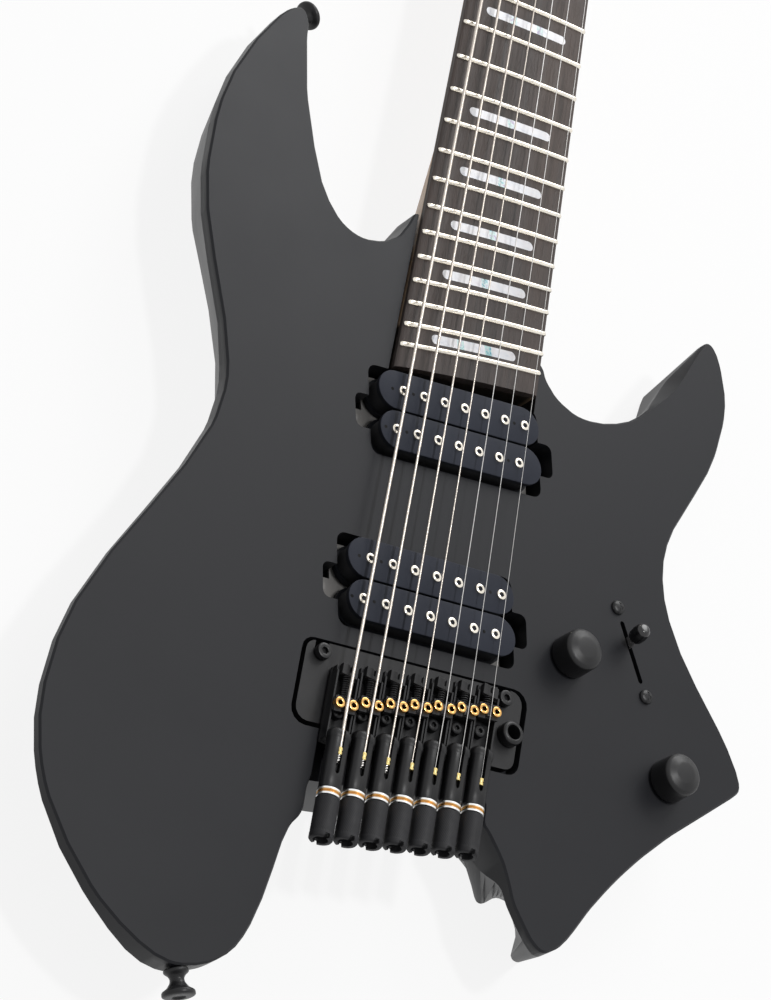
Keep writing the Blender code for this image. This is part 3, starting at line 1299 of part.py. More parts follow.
def make_buttons():
    black = finish("Black button metal", (0.03, 0.03, 0.032), 0.3, 0.8)
    for name, button in (("butt", BUTT_BUTTON), ("horn", HORN_BUTTON)):
        spot, out = button_seat(button)
        waist = BUTTON_LENGTH - BUTTON_DISC
        profile = [
            (0, -BUTTON_SCREW_LENGTH),
            (BUTTON_SCREW_RADIUS, -BUTTON_SCREW_LENGTH),
            (BUTTON_SCREW_RADIUS, CLEARANCE),
            (BUTTON_BASE_RADIUS, CLEARANCE),
            (BUTTON_BASE_RADIUS, BUTTON_DISC / 2),
            (BUTTON_NECK_RADIUS, BUTTON_LENGTH / 3),
            (BUTTON_NECK_RADIUS, BUTTON_LENGTH / 2),
            (BUTTON_END_RADIUS, waist),
            (BUTTON_END_RADIUS, BUTTON_LENGTH - CLEARANCE),
            (BUTTON_END_RADIUS / 2, BUTTON_LENGTH + CLEARANCE),
            (0, BUTTON_LENGTH + CLEARANCE),
        ]
        turned(f"strap_button_{name}", profile, spot, out, 14, black)


def bore(name, start, end, radius, sides=12):
    """A round cutter between two points."""
    start, end = Vector(start), Vector(end)
    return cylinder(name, start, end - start, radius, 0.0, (end - start).length, sides)


def pickup_cutters(name, pickup):
    x, y, degrees = pickup
    half, wide = PICKUP_CAVITY_LENGTH / 2, PICKUP_CAVITY_WIDTH / 2
    reach, ear = PICKUP_EAR_REACH, PICKUP_EAR_WIDTH / 2
    main = turned_box((x, y), degrees, -half, half, -wide, wide)
    ears = turned_box((x, y), degrees, -reach, reach, -PICKUP_EAR_SHIFT - ear, -PICKUP_EAR_SHIFT + ear)
    return [
        prism(name + " cavity", rounded(main, PICKUP_CAVITY_CORNER), CAVITY_FLOOR, TOP_CUT),
        prism(name + " ears", rounded(ears, EAR_CORNER), CAVITY_FLOOR + FLOOR_STEP,
              TOP_CUT + FLOOR_STEP),
    ]


def body_cutters():
    """Everything that is cut out of the body, each opening named after what it takes."""
    under = -OVERCUT
    first = across_board(fret_line(FRET_COUNT), -BOARD_END_MARGIN - POCKET_END_GAP)
    last = across_board(fret_line(FRET_COUNT), POCKET_REACH)
    wide = [[(line[0][0] - POCKET_GAP, line[0][1]), (line[1][0] + POCKET_GAP, line[1][1])]
            for line in (first, last)]
    cuts = [prism("neck pocket", strip(*wide), POCKET_FLOOR, TOP_CUT + 2 * FLOOR_STEP)]
    cuts += pickup_cutters("neck pickup", NECK_PICKUP)
    cuts += pickup_cutters("bridge pickup", BRIDGE_PICKUP)
    rear = PLATE_REAR - RECESS_GAP
    recess = slanted(PLATE_LEFT - RECESS_GAP, PLATE_RIGHT + RECESS_GAP, rear,
                     PLATE_FRONT + RECESS_FRONT_GAP)
    cuts.append(prism("tremolo recess", rounded(recess, RECESS_CORNER), RECESS_FLOOR, TOP_CUT))
    shelf = [(SHELF_LEFT, SHELF_BACK), (SHELF_RIGHT, SHELF_BACK),
             on_slant(SHELF_RIGHT, rear + SHELF_LAP), on_slant(SHELF_LEFT, rear + SHELF_LAP)]
    cuts.append(prism("tuner shelf", shelf, RECESS_FLOOR + FLOOR_STEP, TOP_CUT + FLOOR_STEP))
    half = BLOCK_LENGTH / 2 + BLOCK_SIDE_ROOM
    hole = slanted(-half, half, BLOCK_REAR - BLOCK_SWING_REAR, BLOCK_FRONT + BLOCK_SWING_FRONT)
    cuts.append(prism("block hole", hole, under, RECESS_FLOOR + OVERCUT))
    ledge = COVER_THICKNESS + CLEARANCE
    cuts.append(prism("spring well", well_outline(0.0), under - FLOOR_STEP, SPRING_WELL_ROOF))
    cuts.append(prism("tremolo cover seat", well_outline(COVER_LEDGE), under, ledge))
    cuts.append(prism("control well", control_outline(0.0), under - FLOOR_STEP, FACE - CONTROL_ROOF))
    cuts.append(prism("control cover seat", control_outline(COVER_LEDGE), under, ledge))
    for side in (-1, 1):
        x, y = stud_place(side)
        cuts.append(cylinder(f"stud bore {side}", (x, y, 0), (0, 0, 1), STUD_HEAD_RADIUS + CLEARANCE,
                             RECESS_FLOOR - STUD_DEPTH - CLEARANCE, RECESS_FLOOR + OVERCUT, 16))
        spot = side * CLAW_SCREW_SPREAD / 2
        cuts.append(bore(f"claw bore {side}", (spot, SPRING_WELL_HEAD - OVERCUT, SPRING_HEIGHT),
                         (spot, CLAW_Y + CLAW_SCREW_LENGTH + CLEARANCE, SPRING_HEIGHT),
                         CLAW_SCREW_RADIUS + CLEARANCE))
        cuts.append(cylinder(f"selector screw bore {side}",
                             (*selector_end(side, SELECTOR_SCREW_SPREAD / 2), 0), (0, 0, 1),
                             SELECTOR_SCREW_RADIUS + CLEARANCE, POT_TOP, TOP_CUT, 12))
    for name, place in (("volume", VOLUME_PLACE), ("tone", TONE_PLACE)):
        cuts.append(cylinder(f"{name} bore", (*place, 0), (0, 0, 1), POT_BUSH_RADIUS + CLEARANCE,
                             POT_TOP, TOP_CUT, 16))
    cuts.append(prism("selector slot", stadium(SELECTOR_PLACE, SELECTOR_DEGREES, SELECTOR_SLOT_LENGTH,
                                               SELECTOR_SLOT_WIDTH, 4), POT_TOP, TOP_CUT))
    out = Vector(JACK_DIRECTION).normalized()
    seat = Vector(JACK_PLACE) - out * JACK_SEAT_DEPTH
    deep = JACK_LENGTH + CLEARANCE
    cuts.append(cylinder("jack seat", seat, out, JACK_FLANGE_RADIUS + CLEARANCE, 0.0,
                         2 * JACK_SEAT_DEPTH, 20))
    cuts.append(cylinder("jack bore", seat, out, JACK_RADIUS + CLEARANCE, -deep, OVERCUT, 20))
    cuts.append(bore("jack wire way", seat - out * (deep - OVERCUT), JACK_WIRE_END, WIRE_BORE_RADIUS, 8))
    for number, (start, end) in enumerate(WIRE_WAYS):
        cuts.append(bore(f"wire way {number + 1}", start, end, WIRE_BORE_RADIUS, 8))
    for name, button in (("butt", BUTT_BUTTON), ("horn", HORN_BUTTON)):
        spot, out = button_seat(button)
        cuts.append(cylinder(f"{name} button bore", spot, out, BUTTON_SCREW_RADIUS + CLEARANCE,
                             -BUTTON_SCREW_LENGTH - CLEARANCE, OVERCUT, 12))
    return cuts


def make_body():
    """The body's sides twist, so each of their faces is split into two flat ones before the cutting."""
    wood = finish("Black stained wood", (0.02, 0.02, 0.022), 0.45)
    body = rings("body", body_loops(), wood)
    shape = bmesh.new()
    shape.from_mesh(body.data)
    bmesh.ops.triangulate(shape, faces=shape.faces)
    shape.to_mesh(body.data)
    shape.free()
    combine(body, body_cutters(), "DIFFERENCE")


def hang(name, place, children):
    """Puts an empty on a joint's axis and hangs the pieces that move with it there."""
    centre = bpy.data.objects.new(name, None)
    centre.empty_display_size = JOINT_MARK * MM
    centre.location = Vector(place) * MM
    bpy.context.scene.collection.objects.link(centre)
    for child in children:
        made = bpy.data.objects[child]
        made.location -= centre.location
        made.parent = centre


def main():
    clear_scene()
    make_fretboard()
    make_neck()
    make_head()
    make_pickup("neck_pickup", NECK_PICKUP, NECK_POLE_SPREAD)
    make_pickup("bridge_pickup", BRIDGE_PICKUP, BRIDGE_POLE_SPREAD)
    make_tremolo()
    make_modules()
    make_string_hardware()
    make_strings()
    make_springs()
    make_controls()
    make_jack()
    make_buttons()
    make_body()
    moving = ["tremolo_plate", "tremolo_block", "tuner_modules", "arm_socket"]
    for number in range(1, STRING_COUNT + 1):
        moving += [f"saddle_{number}", f"string_puller_{number}", f"tuner_knob_{number}"]
    hang("tremolo_pivot", PIVOT, moving)


main()
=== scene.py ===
import math

import bmesh
import bpy
import numpy as np
from mathutils import Matrix


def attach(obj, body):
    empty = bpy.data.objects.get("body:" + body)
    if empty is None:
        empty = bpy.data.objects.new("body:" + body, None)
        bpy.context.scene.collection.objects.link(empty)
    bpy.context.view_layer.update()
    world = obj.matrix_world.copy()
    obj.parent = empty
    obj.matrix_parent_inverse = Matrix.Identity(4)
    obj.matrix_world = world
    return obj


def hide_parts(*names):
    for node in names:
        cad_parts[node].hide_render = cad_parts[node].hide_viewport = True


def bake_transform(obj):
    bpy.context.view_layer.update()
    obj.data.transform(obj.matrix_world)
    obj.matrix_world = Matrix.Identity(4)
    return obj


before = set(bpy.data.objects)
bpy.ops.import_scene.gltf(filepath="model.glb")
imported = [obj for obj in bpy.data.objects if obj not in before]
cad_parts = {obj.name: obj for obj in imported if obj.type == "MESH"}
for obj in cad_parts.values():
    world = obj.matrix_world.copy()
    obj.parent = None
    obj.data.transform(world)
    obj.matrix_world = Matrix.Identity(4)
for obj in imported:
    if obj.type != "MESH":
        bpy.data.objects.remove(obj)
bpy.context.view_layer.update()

bl_info = {
    "name": "Headless seven string guitar",
    "version": (1, 0, 0),
    "blender": (4, 5, 0),
    "location": "View3D > Sidebar > Guitar",
    "description": "Dresses the packed guitar in finished pieces and procedural finishes",
    "category": "Object",
}

# Lengths are in millimetres and angles in degrees, and MM turns them into Blender's metres.
# X runs towards the thin strings, Y towards the nut and Z out of the face.
MM = 0.001
WELD = 1e-7
SOLID_WELD = 2e-6
SHARP_BEND = math.radians(33)
CROSS_ARM = 0.3
UP = (0, 0, 1)
FACE = 42.0

# Strings, counted from the thinnest
STRINGS = 7
SPACING = 10.6
DIAMETERS = np.array([0.25, 0.33, 0.43, 0.66, 0.91, 1.17, 1.50])
FIRST_WOUND = 3
WINDING = 0.45
SADDLE_STEP = 4.3
PLAYING_RADIUS = 500.0
STRING_HEIGHT = 51.4
THIN_SCALE = 647.7
THICK_SCALE = 679.0
THICK_START = -25.8
HALF_SPREAD = SPACING * (STRINGS - 1) / 2
NUT_HALF = 21.0
STRING_OVER_NUT = 47.7
STRING_FALL = 0.09
STRING_HELD = 22.8

# Fingerboard, with the margins beside the outer strings at the saddles and at the nut
BOARD_TOP = 46.0
BOARD_THICK = 4.0
BOARD_END = 10.9
BOARD_ROWS = 60
NUT_GAP = 0.3
FRETS = 24
MARGINS = ((4.6, 4.4), (6.4, 2.6))
INLAY_SPACES = (3, 5, 7, 9, 12, 15, 17, 19, 21, 24)
DOUBLE_SPACES = (12, 24)
INLAY_EDGE = 12.0
GEM_HALF = 1.7
GEM_SHIFT = 7.0
# Below this Y the neck's colour is cut almost to black: painted shade where the neck runs into the
# body.
HEEL_SHADE_END = 153.0

# Pickups: x, y, turn and how far apart the outer poles stand
PICKUPS = {"neck": (0.3, 118.7, 13.0, 58.8), "bridge": (0.2, 38.9, 11.7, 61.6)}
ROW_GAP = 17.8
BOBBIN_LENGTH = 79.6
BOBBIN_WIDTH = 16.9
BOBBIN_LOW = 34.5
BOBBIN_TOP = 46.0
COIL_INSET = 2.4
RIVET_SHIFT = 5.1

# Tremolo and tuners
SLANT = math.radians(11.7)
LEAD = math.tan(SLANT)
PIVOT_Y = 4.4
STUD_SPREAD = 42.0
MODULE_LOW = 41.8
MODULE_STEP = 3.35
MODULE_FRONT = 12.3
MODULE_WIDTH = 10.2
MODULE_WALL = 0.9
BARREL_FRONT = -17.4
BARREL_END = -41.4
BARREL_AXIS = 48.2
ARM_PLACE = (46.6, -0.9)
LOCK_Y = -7.2
LOCK_RADIUS = 2.75
LOCK_ROOM = 1.6
BALL_Y = -31.2
BALL_STEP = 2.43
BALL_HEIGHT = 50.7
SCREW_SHIFT = 3.0
GRIP_RADIUS = 4.6
GRIP_LENGTH = 16.9
GRIP_SIDES = 120
KNURLS = 30
KNURL_PITCH = 1.1
NOTCH_DEPTH = 1.6
NOTCH_TURN = math.radians(12.5)
SPRING_HEIGHT = 10.5
SPRING_FAR = 87.3
SPRING_GAP = 20.0

# Controls
VOLUME_PLACE = (69.5, 44.8)
TONE_PLACE = (124.5, 12.2)
SELECTOR_PLACE = (99.6, 61.3)
SELECTOR_TURN = math.radians(-59.7)
SELECTOR_SCREW = 19.2
LEVER_PIVOT = 20.0
LEVER_TOP = 34.0
LEVER_LEAN = math.radians(10.0)
JACK_SEAT = (109.71, -17.17, 19.0)
JACK_WAY = (0.72, -0.69, 0.0)
BUTTONS = {
    "butt": ((-74.387, -147.9, 37.0), (0.3345, -0.9424, 0.0)),
    "horn": ((-103.698, 275.375, 32.3), (0.6633, 0.7484, 0.0)),
}
COVER_SCREWS = [(-32.0, -22.0), (32.0, -10.5), (-32.0, 103.0), (32.0, 103.0),
                (-32.0, 40.0), (32.0, 46.0)]

# The CAD solids that stay, by finish
DRESSED = {
    "lacquer": ["body"],
    "maple": ["neck"],
    "black_metal": ["headpiece", "tremolo_plate", "string_clamp", "nut", "selector_switch"],
    "plain_steel": ["truss_rod", "tremolo_block", "spring_claw", "volume_pot", "tone_pot"],
    # The baseplates' nickel is darkened as painted shade.
    "dull_nickel": ["neck_pickup_baseplate", "bridge_pickup_baseplate"],
    "black_plastic": ["tremolo_cover", "control_cover"],
}

# The stage in metres and watts: each lamp's name, place, size and power
LAMPS = (("key", (0.12, 0.1, 1.6), 0.14, 11.0), ("sheen", (0.5, 1.7, 1.1), 1.0, 18.0))
LAMP_AIM = (0.0, 0.1, 0.03)
ROOM_LIGHT = 0.25
FLOOR_REACH = 4
FLOOR_HEIGHT = -0.0008
FLOOR_GLOW = 0.88

# Where the photograph was taken from, and the camera's own axes
CAMERA_PLACE = (-631.45, -680.12, 1077.49)
CAMERA_RIGHT = (0.80343, 0.14740, 0.576865)
CAMERA_DOWN = (0.414429, -0.834086, -0.364072)
CAMERA_AHEAD = (0.427491, 0.531576, -0.731217)
CAMERA_LENS = 130.48
CAMERA_SENSOR = 36.0
CAMERA_FAR = 20.0


# ---- surfaces

def basis(axis):
    """The turn that takes +Z to axis: its columns are two square directions and the axis."""
    ahead = np.asarray(axis, float) / np.linalg.norm(axis)
    spare = np.array([0.0, 0.0, 1.0]) if abs(ahead[2]) < 0.9 else np.array([1.0, 0.0, 0.0])
    side = np.cross(spare, ahead)
    side /= np.linalg.norm(side)
    return np.stack([side, np.cross(ahead, side), ahead], axis=1)


def skin(grid, wrap=True, ends=True):
    """Quads over a grid of rows and columns. The columns close when wrap is set, and the two end
    rows get one flat face each when ends is set."""
    rows, columns = grid.shape[:2]
    index = np.arange(rows * columns).reshape(rows, columns)
    here, ahead = (index, np.roll(index, -1, 1)) if wrap else (index[:, :-1], index[:, 1:])
    faces = np.stack([here[:-1], ahead[:-1], ahead[1:], here[1:]], -1).reshape(-1, 4).tolist()
    if ends:
        faces += [index[0, ::-1].tolist(), index[-1].tolist()]
    return grid.reshape(-1, 3), faces


def lathe(profile, centre, axis=UP, sides=40, shapes=None):
    """A profile of radius r and height h turned about an axis: (r g(a) cos a, r g(a) sin a, h).
    The shape function g is 1 for a round row, a hexagon's for "h" and a cross's for "x"."""
    profile = np.asarray(profile, float)
    angle = np.arange(sides) * 2 * np.pi / sides
    sixth = np.pi / 3
    hexagon = np.cos(sixth / 2) / np.cos((angle + sixth / 2) % sixth - sixth / 2)
    cosine, sine = abs(np.cos(angle)), abs(np.sin(angle))
    cross = np.minimum(1 / np.maximum(cosine, sine),
                       CROSS_ARM / np.maximum(np.minimum(cosine, sine), 1e-6))
    table = {"o": np.ones(sides), "h": hexagon, "x": cross}
    spread = np.stack([table[s] for s in (shapes or "o" * len(profile))])
    grid = np.empty((len(profile), sides, 3))
    grid[..., 0] = profile[:, :1] * spread * np.cos(angle)
    grid[..., 1] = profile[:, :1] * spread * np.sin(angle)
    grid[..., 2] = profile[:, 1:]
    return skin(grid @ basis(axis).T + np.asarray(centre, float), ends=False)


def rounded_profile(corners, radius, steps=4):
    """The profile with every inner corner replaced by a quadratic arc that starts radius away."""
    corners = np.asarray(corners, float)
    out = [corners[:1]]
    t = np.linspace(0, 1, steps + 1)[:, None]
    for before, here, after in zip(corners, corners[1:], corners[2:]):
        back, on = before - here, after - here
        reach = min(radius, np.linalg.norm(back) / 2, np.linalg.norm(on) / 2)
        start = here + back / max(np.linalg.norm(back), 1e-9) * reach
        end = here + on / max(np.linalg.norm(on), 1e-9) * reach
        out.append((1 - t) ** 2 * start + 2 * t * (1 - t) * here + t * t * end)
    out.append(corners[-1:])
    return np.concatenate(out)


def tube(path, radius, sides=10, reference=UP):
    """A circle carried along a path: p(s) + r (cos a side + sin a up), square to the tangent."""
    path = np.asarray(path, float)
    tangent = np.gradient(path, axis=0)
    tangent /= np.linalg.norm(tangent, axis=1)[:, None]
    side = np.cross(tangent, reference)
    side /= np.linalg.norm(side, axis=1)[:, None]
    up = np.cross(side, tangent)
    angle = (np.arange(sides) * 2 * np.pi / sides)[None, :, None]
    ring = np.cos(angle) * side[:, None] + np.sin(angle) * up[:, None]
    return skin(path[:, None] + radius * ring)


def coil(start, end, radius, wire, turns, sides=6, steps=14):
    """A helix about the line from start to end, as a tube: centre + r (cos a u + sin a v)."""
    start, end = np.asarray(start, float), np.asarray(end, float)
    share = np.linspace(0, 1, int(turns * steps) + 1)[:, None]
    turn = basis(end - start)
    angle = 2 * np.pi * turns * share
    round_it = np.cos(angle) * turn[:, 0] + np.sin(angle) * turn[:, 1]
    return tube(start + (end - start) * share + radius * round_it, wire, sides, turn[:, 2])


def block(low, high, lead=0.0):
    """A box from its low to its high corner; lead shifts it along Y by that much per unit of X."""
    (x0, y0, z0), (x1, y1, z1) = low, high
    loop = np.array([(x0, y0), (x1, y0), (x1, y1), (x0, y1)], float)
    loop[:, 1] += (loop[:, 0] - (x0 + x1) / 2) * lead
    return skin(np.stack([np.column_stack([loop, np.full(4, z)]) for z in (z0, z1)]))


def shelf(outline, levels):
    """An outline stacked at levels of (inset, height): each ring is the outline moved inwards
    along the mean of its two edges' normals."""
    along = np.roll(outline, -1, 0) - np.roll(outline, 1, 0)
    along /= np.linalg.norm(along, axis=1)[:, None]
    inward = np.stack([-along[:, 1], along[:, 0]], 1)
    return skin(np.stack([np.column_stack([outline + inward * inset, np.full(len(outline), z)])
                          for inset, z in levels]))


def turned(points, centre, angle):
    """Points in a flat frame turned about Z and moved to centre."""
    cosine, sine = math.cos(angle), math.sin(angle)
    points = np.array(points, float)
    x, y = points[:, 0].copy(), points[:, 1].copy()
    points[:, 0] = centre[0] + x * cosine - y * sine
    points[:, 1] = centre[1] + x * sine + y * cosine
    return points


def stadium(length, width, steps=16):
    """A slot's outline with half-round ends, anticlockwise."""
    reach, radius = (length - width) / 2, width / 2
    turn = np.linspace(-np.pi / 2, np.pi / 2, steps)
    right = np.stack([reach + radius * np.cos(turn), radius * np.sin(turn)], 1)
    return np.concatenate([right, -right])


# ---- pieces

def size(name):
    """One of the user's sizes, in millimetres."""
    return getattr(bpy.context.scene.guitar_sizes, name) / MM


def colour(name):
    return getattr(bpy.context.scene.guitar_colours, name)[:]


def piece(name, parts, finish, body, stands_for=(), smooth=35.0, bevel=0.0, along=None):
    """One object from several surfaces: welded, turned outwards, shaded, and riding on a body.
    along is a value per point, such as the length along a string, for the finish to follow."""
    points, faces, start = [], [], 0
    for part_points, part_faces in parts:
        points.append(part_points)
        faces += [[corner + start for corner in face] for face in part_faces]
        start += len(part_points)
    mesh = bpy.data.meshes.new(name)
    mesh.from_pydata((np.concatenate(points) * MM).tolist(), [], faces)
    if along is not None:
        layer = mesh.attributes.new("along", "FLOAT", "POINT")
        layer.data.foreach_set("value", np.asarray(along, np.float32))
    shape = bmesh.new()
    shape.from_mesh(mesh)
    bmesh.ops.remove_doubles(shape, verts=shape.verts, dist=WELD)
    bmesh.ops.dissolve_degenerate(shape, edges=shape.edges, dist=WELD)
    bmesh.ops.recalc_face_normals(shape, faces=shape.faces)
    shape.to_mesh(mesh)
    shape.free()
    mesh.shade_smooth()
    mesh.set_sharp_from_angle(angle=math.radians(smooth))
    mesh.materials.append(finished(finish))
    made = bpy.data.objects.new(name, mesh)
    bpy.context.scene.collection.objects.link(made)
    if bevel:
        step = made.modifiers.new("Edges", "BEVEL")
        step.width = bevel * MM
        step.segments = 2
        step.limit_method = "ANGLE"
        step.angle_limit = math.radians(35)
        step.harden_normals = True
    if body:
        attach(made, body)
    if stands_for:
        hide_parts(*stands_for)
    return made


def smoothing_tree():
    """Joins a solid's loose triangles and shades them smooth except where they meet sharply."""
    tree = bpy.data.node_groups.get("Smooth solid")
    if tree:
        return tree
    tree = bpy.data.node_groups.new("Smooth solid", "GeometryNodeTree")
    for way in ("INPUT", "OUTPUT"):
        tree.interface.new_socket("Geometry", in_out=way, socket_type="NodeSocketGeometry")
    start, end = tree.nodes.new("NodeGroupInput"), tree.nodes.new("NodeGroupOutput")
    weld = step_in(tree, "GeometryNodeMergeByDistance", Geometry=start.outputs[0],
                   Distance=SOLID_WELD)
    soft = step_in(tree, "GeometryNodeSetShadeSmooth", Geometry=weld.outputs["Geometry"])
    hard = step_in(tree, "GeometryNodeSetShadeSmooth", Geometry=soft.outputs["Geometry"],
                   Shade_Smooth=False)
    hard.domain = "EDGE"
    bend = tree.nodes.new("GeometryNodeInputMeshEdgeAngle")
    test = tree.nodes.new("FunctionNodeCompare")
    test.operation = "GREATER_THAN"
    test.inputs[1].default_value = SHARP_BEND
    tree.links.new(bend.outputs["Unsigned Angle"], test.inputs[0])
    tree.links.new(test.outputs["Result"], hard.inputs["Selection"])
    tree.links.new(hard.outputs["Geometry"], end.inputs[0])
    return tree


def dress(node, material):
    """Gives a CAD solid its finish, and smooth shading by modifiers that leave its mesh alone."""
    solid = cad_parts[node]
    if not solid.material_slots:
        solid.data.materials.append(material)
    for place in solid.material_slots:
        place.material = material
    solid.modifiers.new("Smooth", "NODES").node_group = smoothing_tree()
    weight = solid.modifiers.new("Flat faces stay flat", "WEIGHTED_NORMAL")
    weight.keep_sharp = True
    weight.weight = 80


# ---- finishes

def blank(name, roughness, metallic=0.0, specular=0.5):
    material = bpy.data.materials.new(name)
    material.use_nodes = True
    shader = material.node_tree.nodes["Principled BSDF"]
    shader.inputs["Roughness"].default_value = roughness
    shader.inputs["Metallic"].default_value = metallic
    shader.inputs["Specular IOR Level"].default_value = specular
    return material, material.node_tree, shader


def step_in(tree, kind, **values):
    """A node whose inputs are set, or joined when the value is another node's output."""
    node = tree.nodes.new(kind)
    for label, value in values.items():
        socket = node.inputs[label.replace("_", " ")]
        if isinstance(value, bpy.types.NodeSocket):
            tree.links.new(value, socket)
        else:
            socket.default_value = value
    return node


def spot(tree, scale=(1, 1, 1), turn=0.0):
    """Object coordinates, stretched and turned about Z."""
    place = tree.nodes.new("ShaderNodeTexCoord")
    return step_in(tree, "ShaderNodeMapping", Vector=place.outputs["Object"], Scale=scale,
                   Rotation=(0, 0, turn)).outputs["Vector"]


def clouds(tree, vector, scale, detail=3.0, rough=0.55):
    return step_in(tree, "ShaderNodeTexNoise", Vector=vector, Scale=scale, Detail=detail,
                   Roughness=rough).outputs["Fac"]


def ramp(tree, value, stops):
    """Colours or greys at places from 0 to 1."""
    node = step_in(tree, "ShaderNodeValToRGB", Fac=value)
    line = node.color_ramp.elements
    while len(line) < len(stops):
        line.new(0.5)
    for element, (place, tone) in zip(line, stops):
        element.position = place
        element.color = (*tone, 1) if hasattr(tone, "__len__") else (tone, tone, tone, 1)
    return node.outputs["Color"]


def painted(tree, shader, tone, tint=None):
    """Joins a colour to the shader, times a tint where there is one."""
    if tint:
        node = tree.nodes.new("ShaderNodeVectorMath")
        node.operation = "MULTIPLY"
        tree.links.new(tone, node.inputs[0])
        tree.links.new(tint, node.inputs[1])
        tone = node.outputs["Vector"]
    tree.links.new(tone, shader.inputs["Base Color"])


def raised(tree, shader, height, strength, distance=0.0002):
    node = step_in(tree, "ShaderNodeBump", Height=height, Strength=strength, Distance=distance)
    tree.links.new(node.outputs["Normal"], shader.inputs["Normal"])


def shade(tone, factor):
    return tuple(min(1.0, channel * factor) for channel in tone)


def coat(name, tone, roughness, metallic, specular, cloud, grain, contrast, relief,
         stretch=(1, 1, 1)):
    """A coat or casting: slow clouds in the colour and gloss, and a fine grain in relief."""
    if isinstance(tone[0], str):
        tone = shade(colour(tone[0]), tone[1])
    material, tree, shader = blank(name, roughness, metallic, specular)
    vector = spot(tree, stretch)
    low, high = 1 - contrast, 1 + contrast
    slow = clouds(tree, vector, cloud)
    painted(tree, shader, ramp(tree, slow, [(0.3, shade(tone, low)), (0.7, shade(tone, high))]))
    wear = clouds(tree, vector, cloud * 6, 4.0)
    gloss = ramp(tree, wear, [(0.3, roughness * low), (0.7, min(1.0, roughness * high))])
    tree.links.new(gloss, shader.inputs["Roughness"])
    raised(tree, shader, clouds(tree, vector, grain, 2.0), relief)
    return material


def coil_tape(name):
    """Black cloth tape: a fine weave in two directions."""
    material, tree, shader = blank(name, 0.75, 0.0, 0.3)
    vector = spot(tree)
    slow = clouds(tree, vector, 60.0)
    painted(tree, shader, ramp(tree, slow, [(0.3, (0.008, 0.008, 0.009)),
                                            (0.7, (0.016, 0.016, 0.018))]))
    weave = step_in(tree, "ShaderNodeTexWave", Vector=vector, Scale=450.0, Distortion=0.4)
    weave.bands_direction = "Z"
    raised(tree, shader, weave.outputs["Fac"], 0.3)
    return material


def board_wood(name):
    """Dark open-grained wood: long streaks along the neck, with short dark pores."""
    material, tree, shader = blank(name, 0.55, 0.0, 0.35)
    streak = clouds(tree, spot(tree, (1, 0.045, 1)), 260.0, 6.0, 0.65)
    dark, light = colour("board_dark"), colour("board_light")
    wide = clouds(tree, spot(tree, (1, 0.12, 1)), 34.0, 3.0)
    tone = ramp(tree, streak, [(0.3, dark), (0.52, light), (0.62, shade(light, 0.8)),
                               (0.78, dark)])
    tint = ramp(tree, wide, [(0.35, (0.72, 0.72, 0.78)), (0.65, (1.15, 1.02, 0.95))])
    painted(tree, shader, tone, tint)
    pores = clouds(tree, spot(tree, (1, 0.09, 1)), 1500.0, 2.0)
    tree.links.new(ramp(tree, streak, [(0.3, 0.62), (0.7, 0.48)]), shader.inputs["Roughness"])
    raised(tree, shader, ramp(tree, pores, [(0.36, 0.0), (0.46, 1.0)]), 0.35, 0.00025)
    return material


def maple(name):
    """Pale maple with long figure and faint cross bands. Its end in the body is darkened almost to
    black as painted shade.
    """
    material, tree, shader = blank(name, 0.42, 0.0, 0.45)
    light = colour("maple")
    grain = clouds(tree, spot(tree, (1, 0.03, 1)), 240.0, 5.0, 0.6)
    tone = ramp(tree, grain, [(0.28, shade(light, 0.78)), (0.5, light), (0.75, shade(light, 1.1))])
    # Painted shade: where the neck runs into the body its colour is cut almost to black.
    y = step_in(tree, "ShaderNodeSeparateXYZ", Vector=spot(tree)).outputs["Y"]
    heel_shade_mask = step_in(tree, "ShaderNodeMapRange", Value=y, From_Min=(HEEL_SHADE_END - 1) * MM,
                   From_Max=(HEEL_SHADE_END + 1) * MM)
    painted(tree, shader, tone, ramp(tree, heel_shade_mask.outputs["Result"], [(0.0, 0.012), (1.0, 1.0)]))
    band = clouds(tree, spot(tree, (0.3, 1, 1)), 90.0, 3.0)
    tree.links.new(ramp(tree, band, [(0.3, 0.38), (0.7, 0.5)]), shader.inputs["Roughness"])
    raised(tree, shader, grain, 0.12)
    return material


def pearl(name):
    """Mother of pearl: pale clouds with a faint blue and pink change."""
    material, tree, shader = blank(name, 0.22, 0.0, 0.7)
    swirl = clouds(tree, spot(tree, (1, 1.8, 1), 0.5), 170.0, 4.0, 0.6)
    stops = [(0.25, (0.46, 0.48, 0.55)), (0.42, (0.62, 0.63, 0.67)),
             (0.58, (0.67, 0.66, 0.68)), (0.78, (0.56, 0.53, 0.58))]
    painted(tree, shader, ramp(tree, swirl, stops))
    raised(tree, shader, swirl, 0.05)
    return material


def abalone(name):
    """Abalone: tight bands of blue, green and violet."""
    material, tree, shader = blank(name, 0.18, 0.0, 0.7)
    swirl = clouds(tree, spot(tree, (1, 1, 1), 0.8), 420.0, 5.0, 0.7)
    stops = [(0.22, (0.02, 0.05, 0.10)), (0.38, (0.10, 0.34, 0.42)), (0.50, (0.45, 0.62, 0.58)),
             (0.62, (0.30, 0.22, 0.42)), (0.78, (0.06, 0.16, 0.10))]
    painted(tree, shader, ramp(tree, swirl, stops))
    raised(tree, shader, swirl, 0.05)
    return material


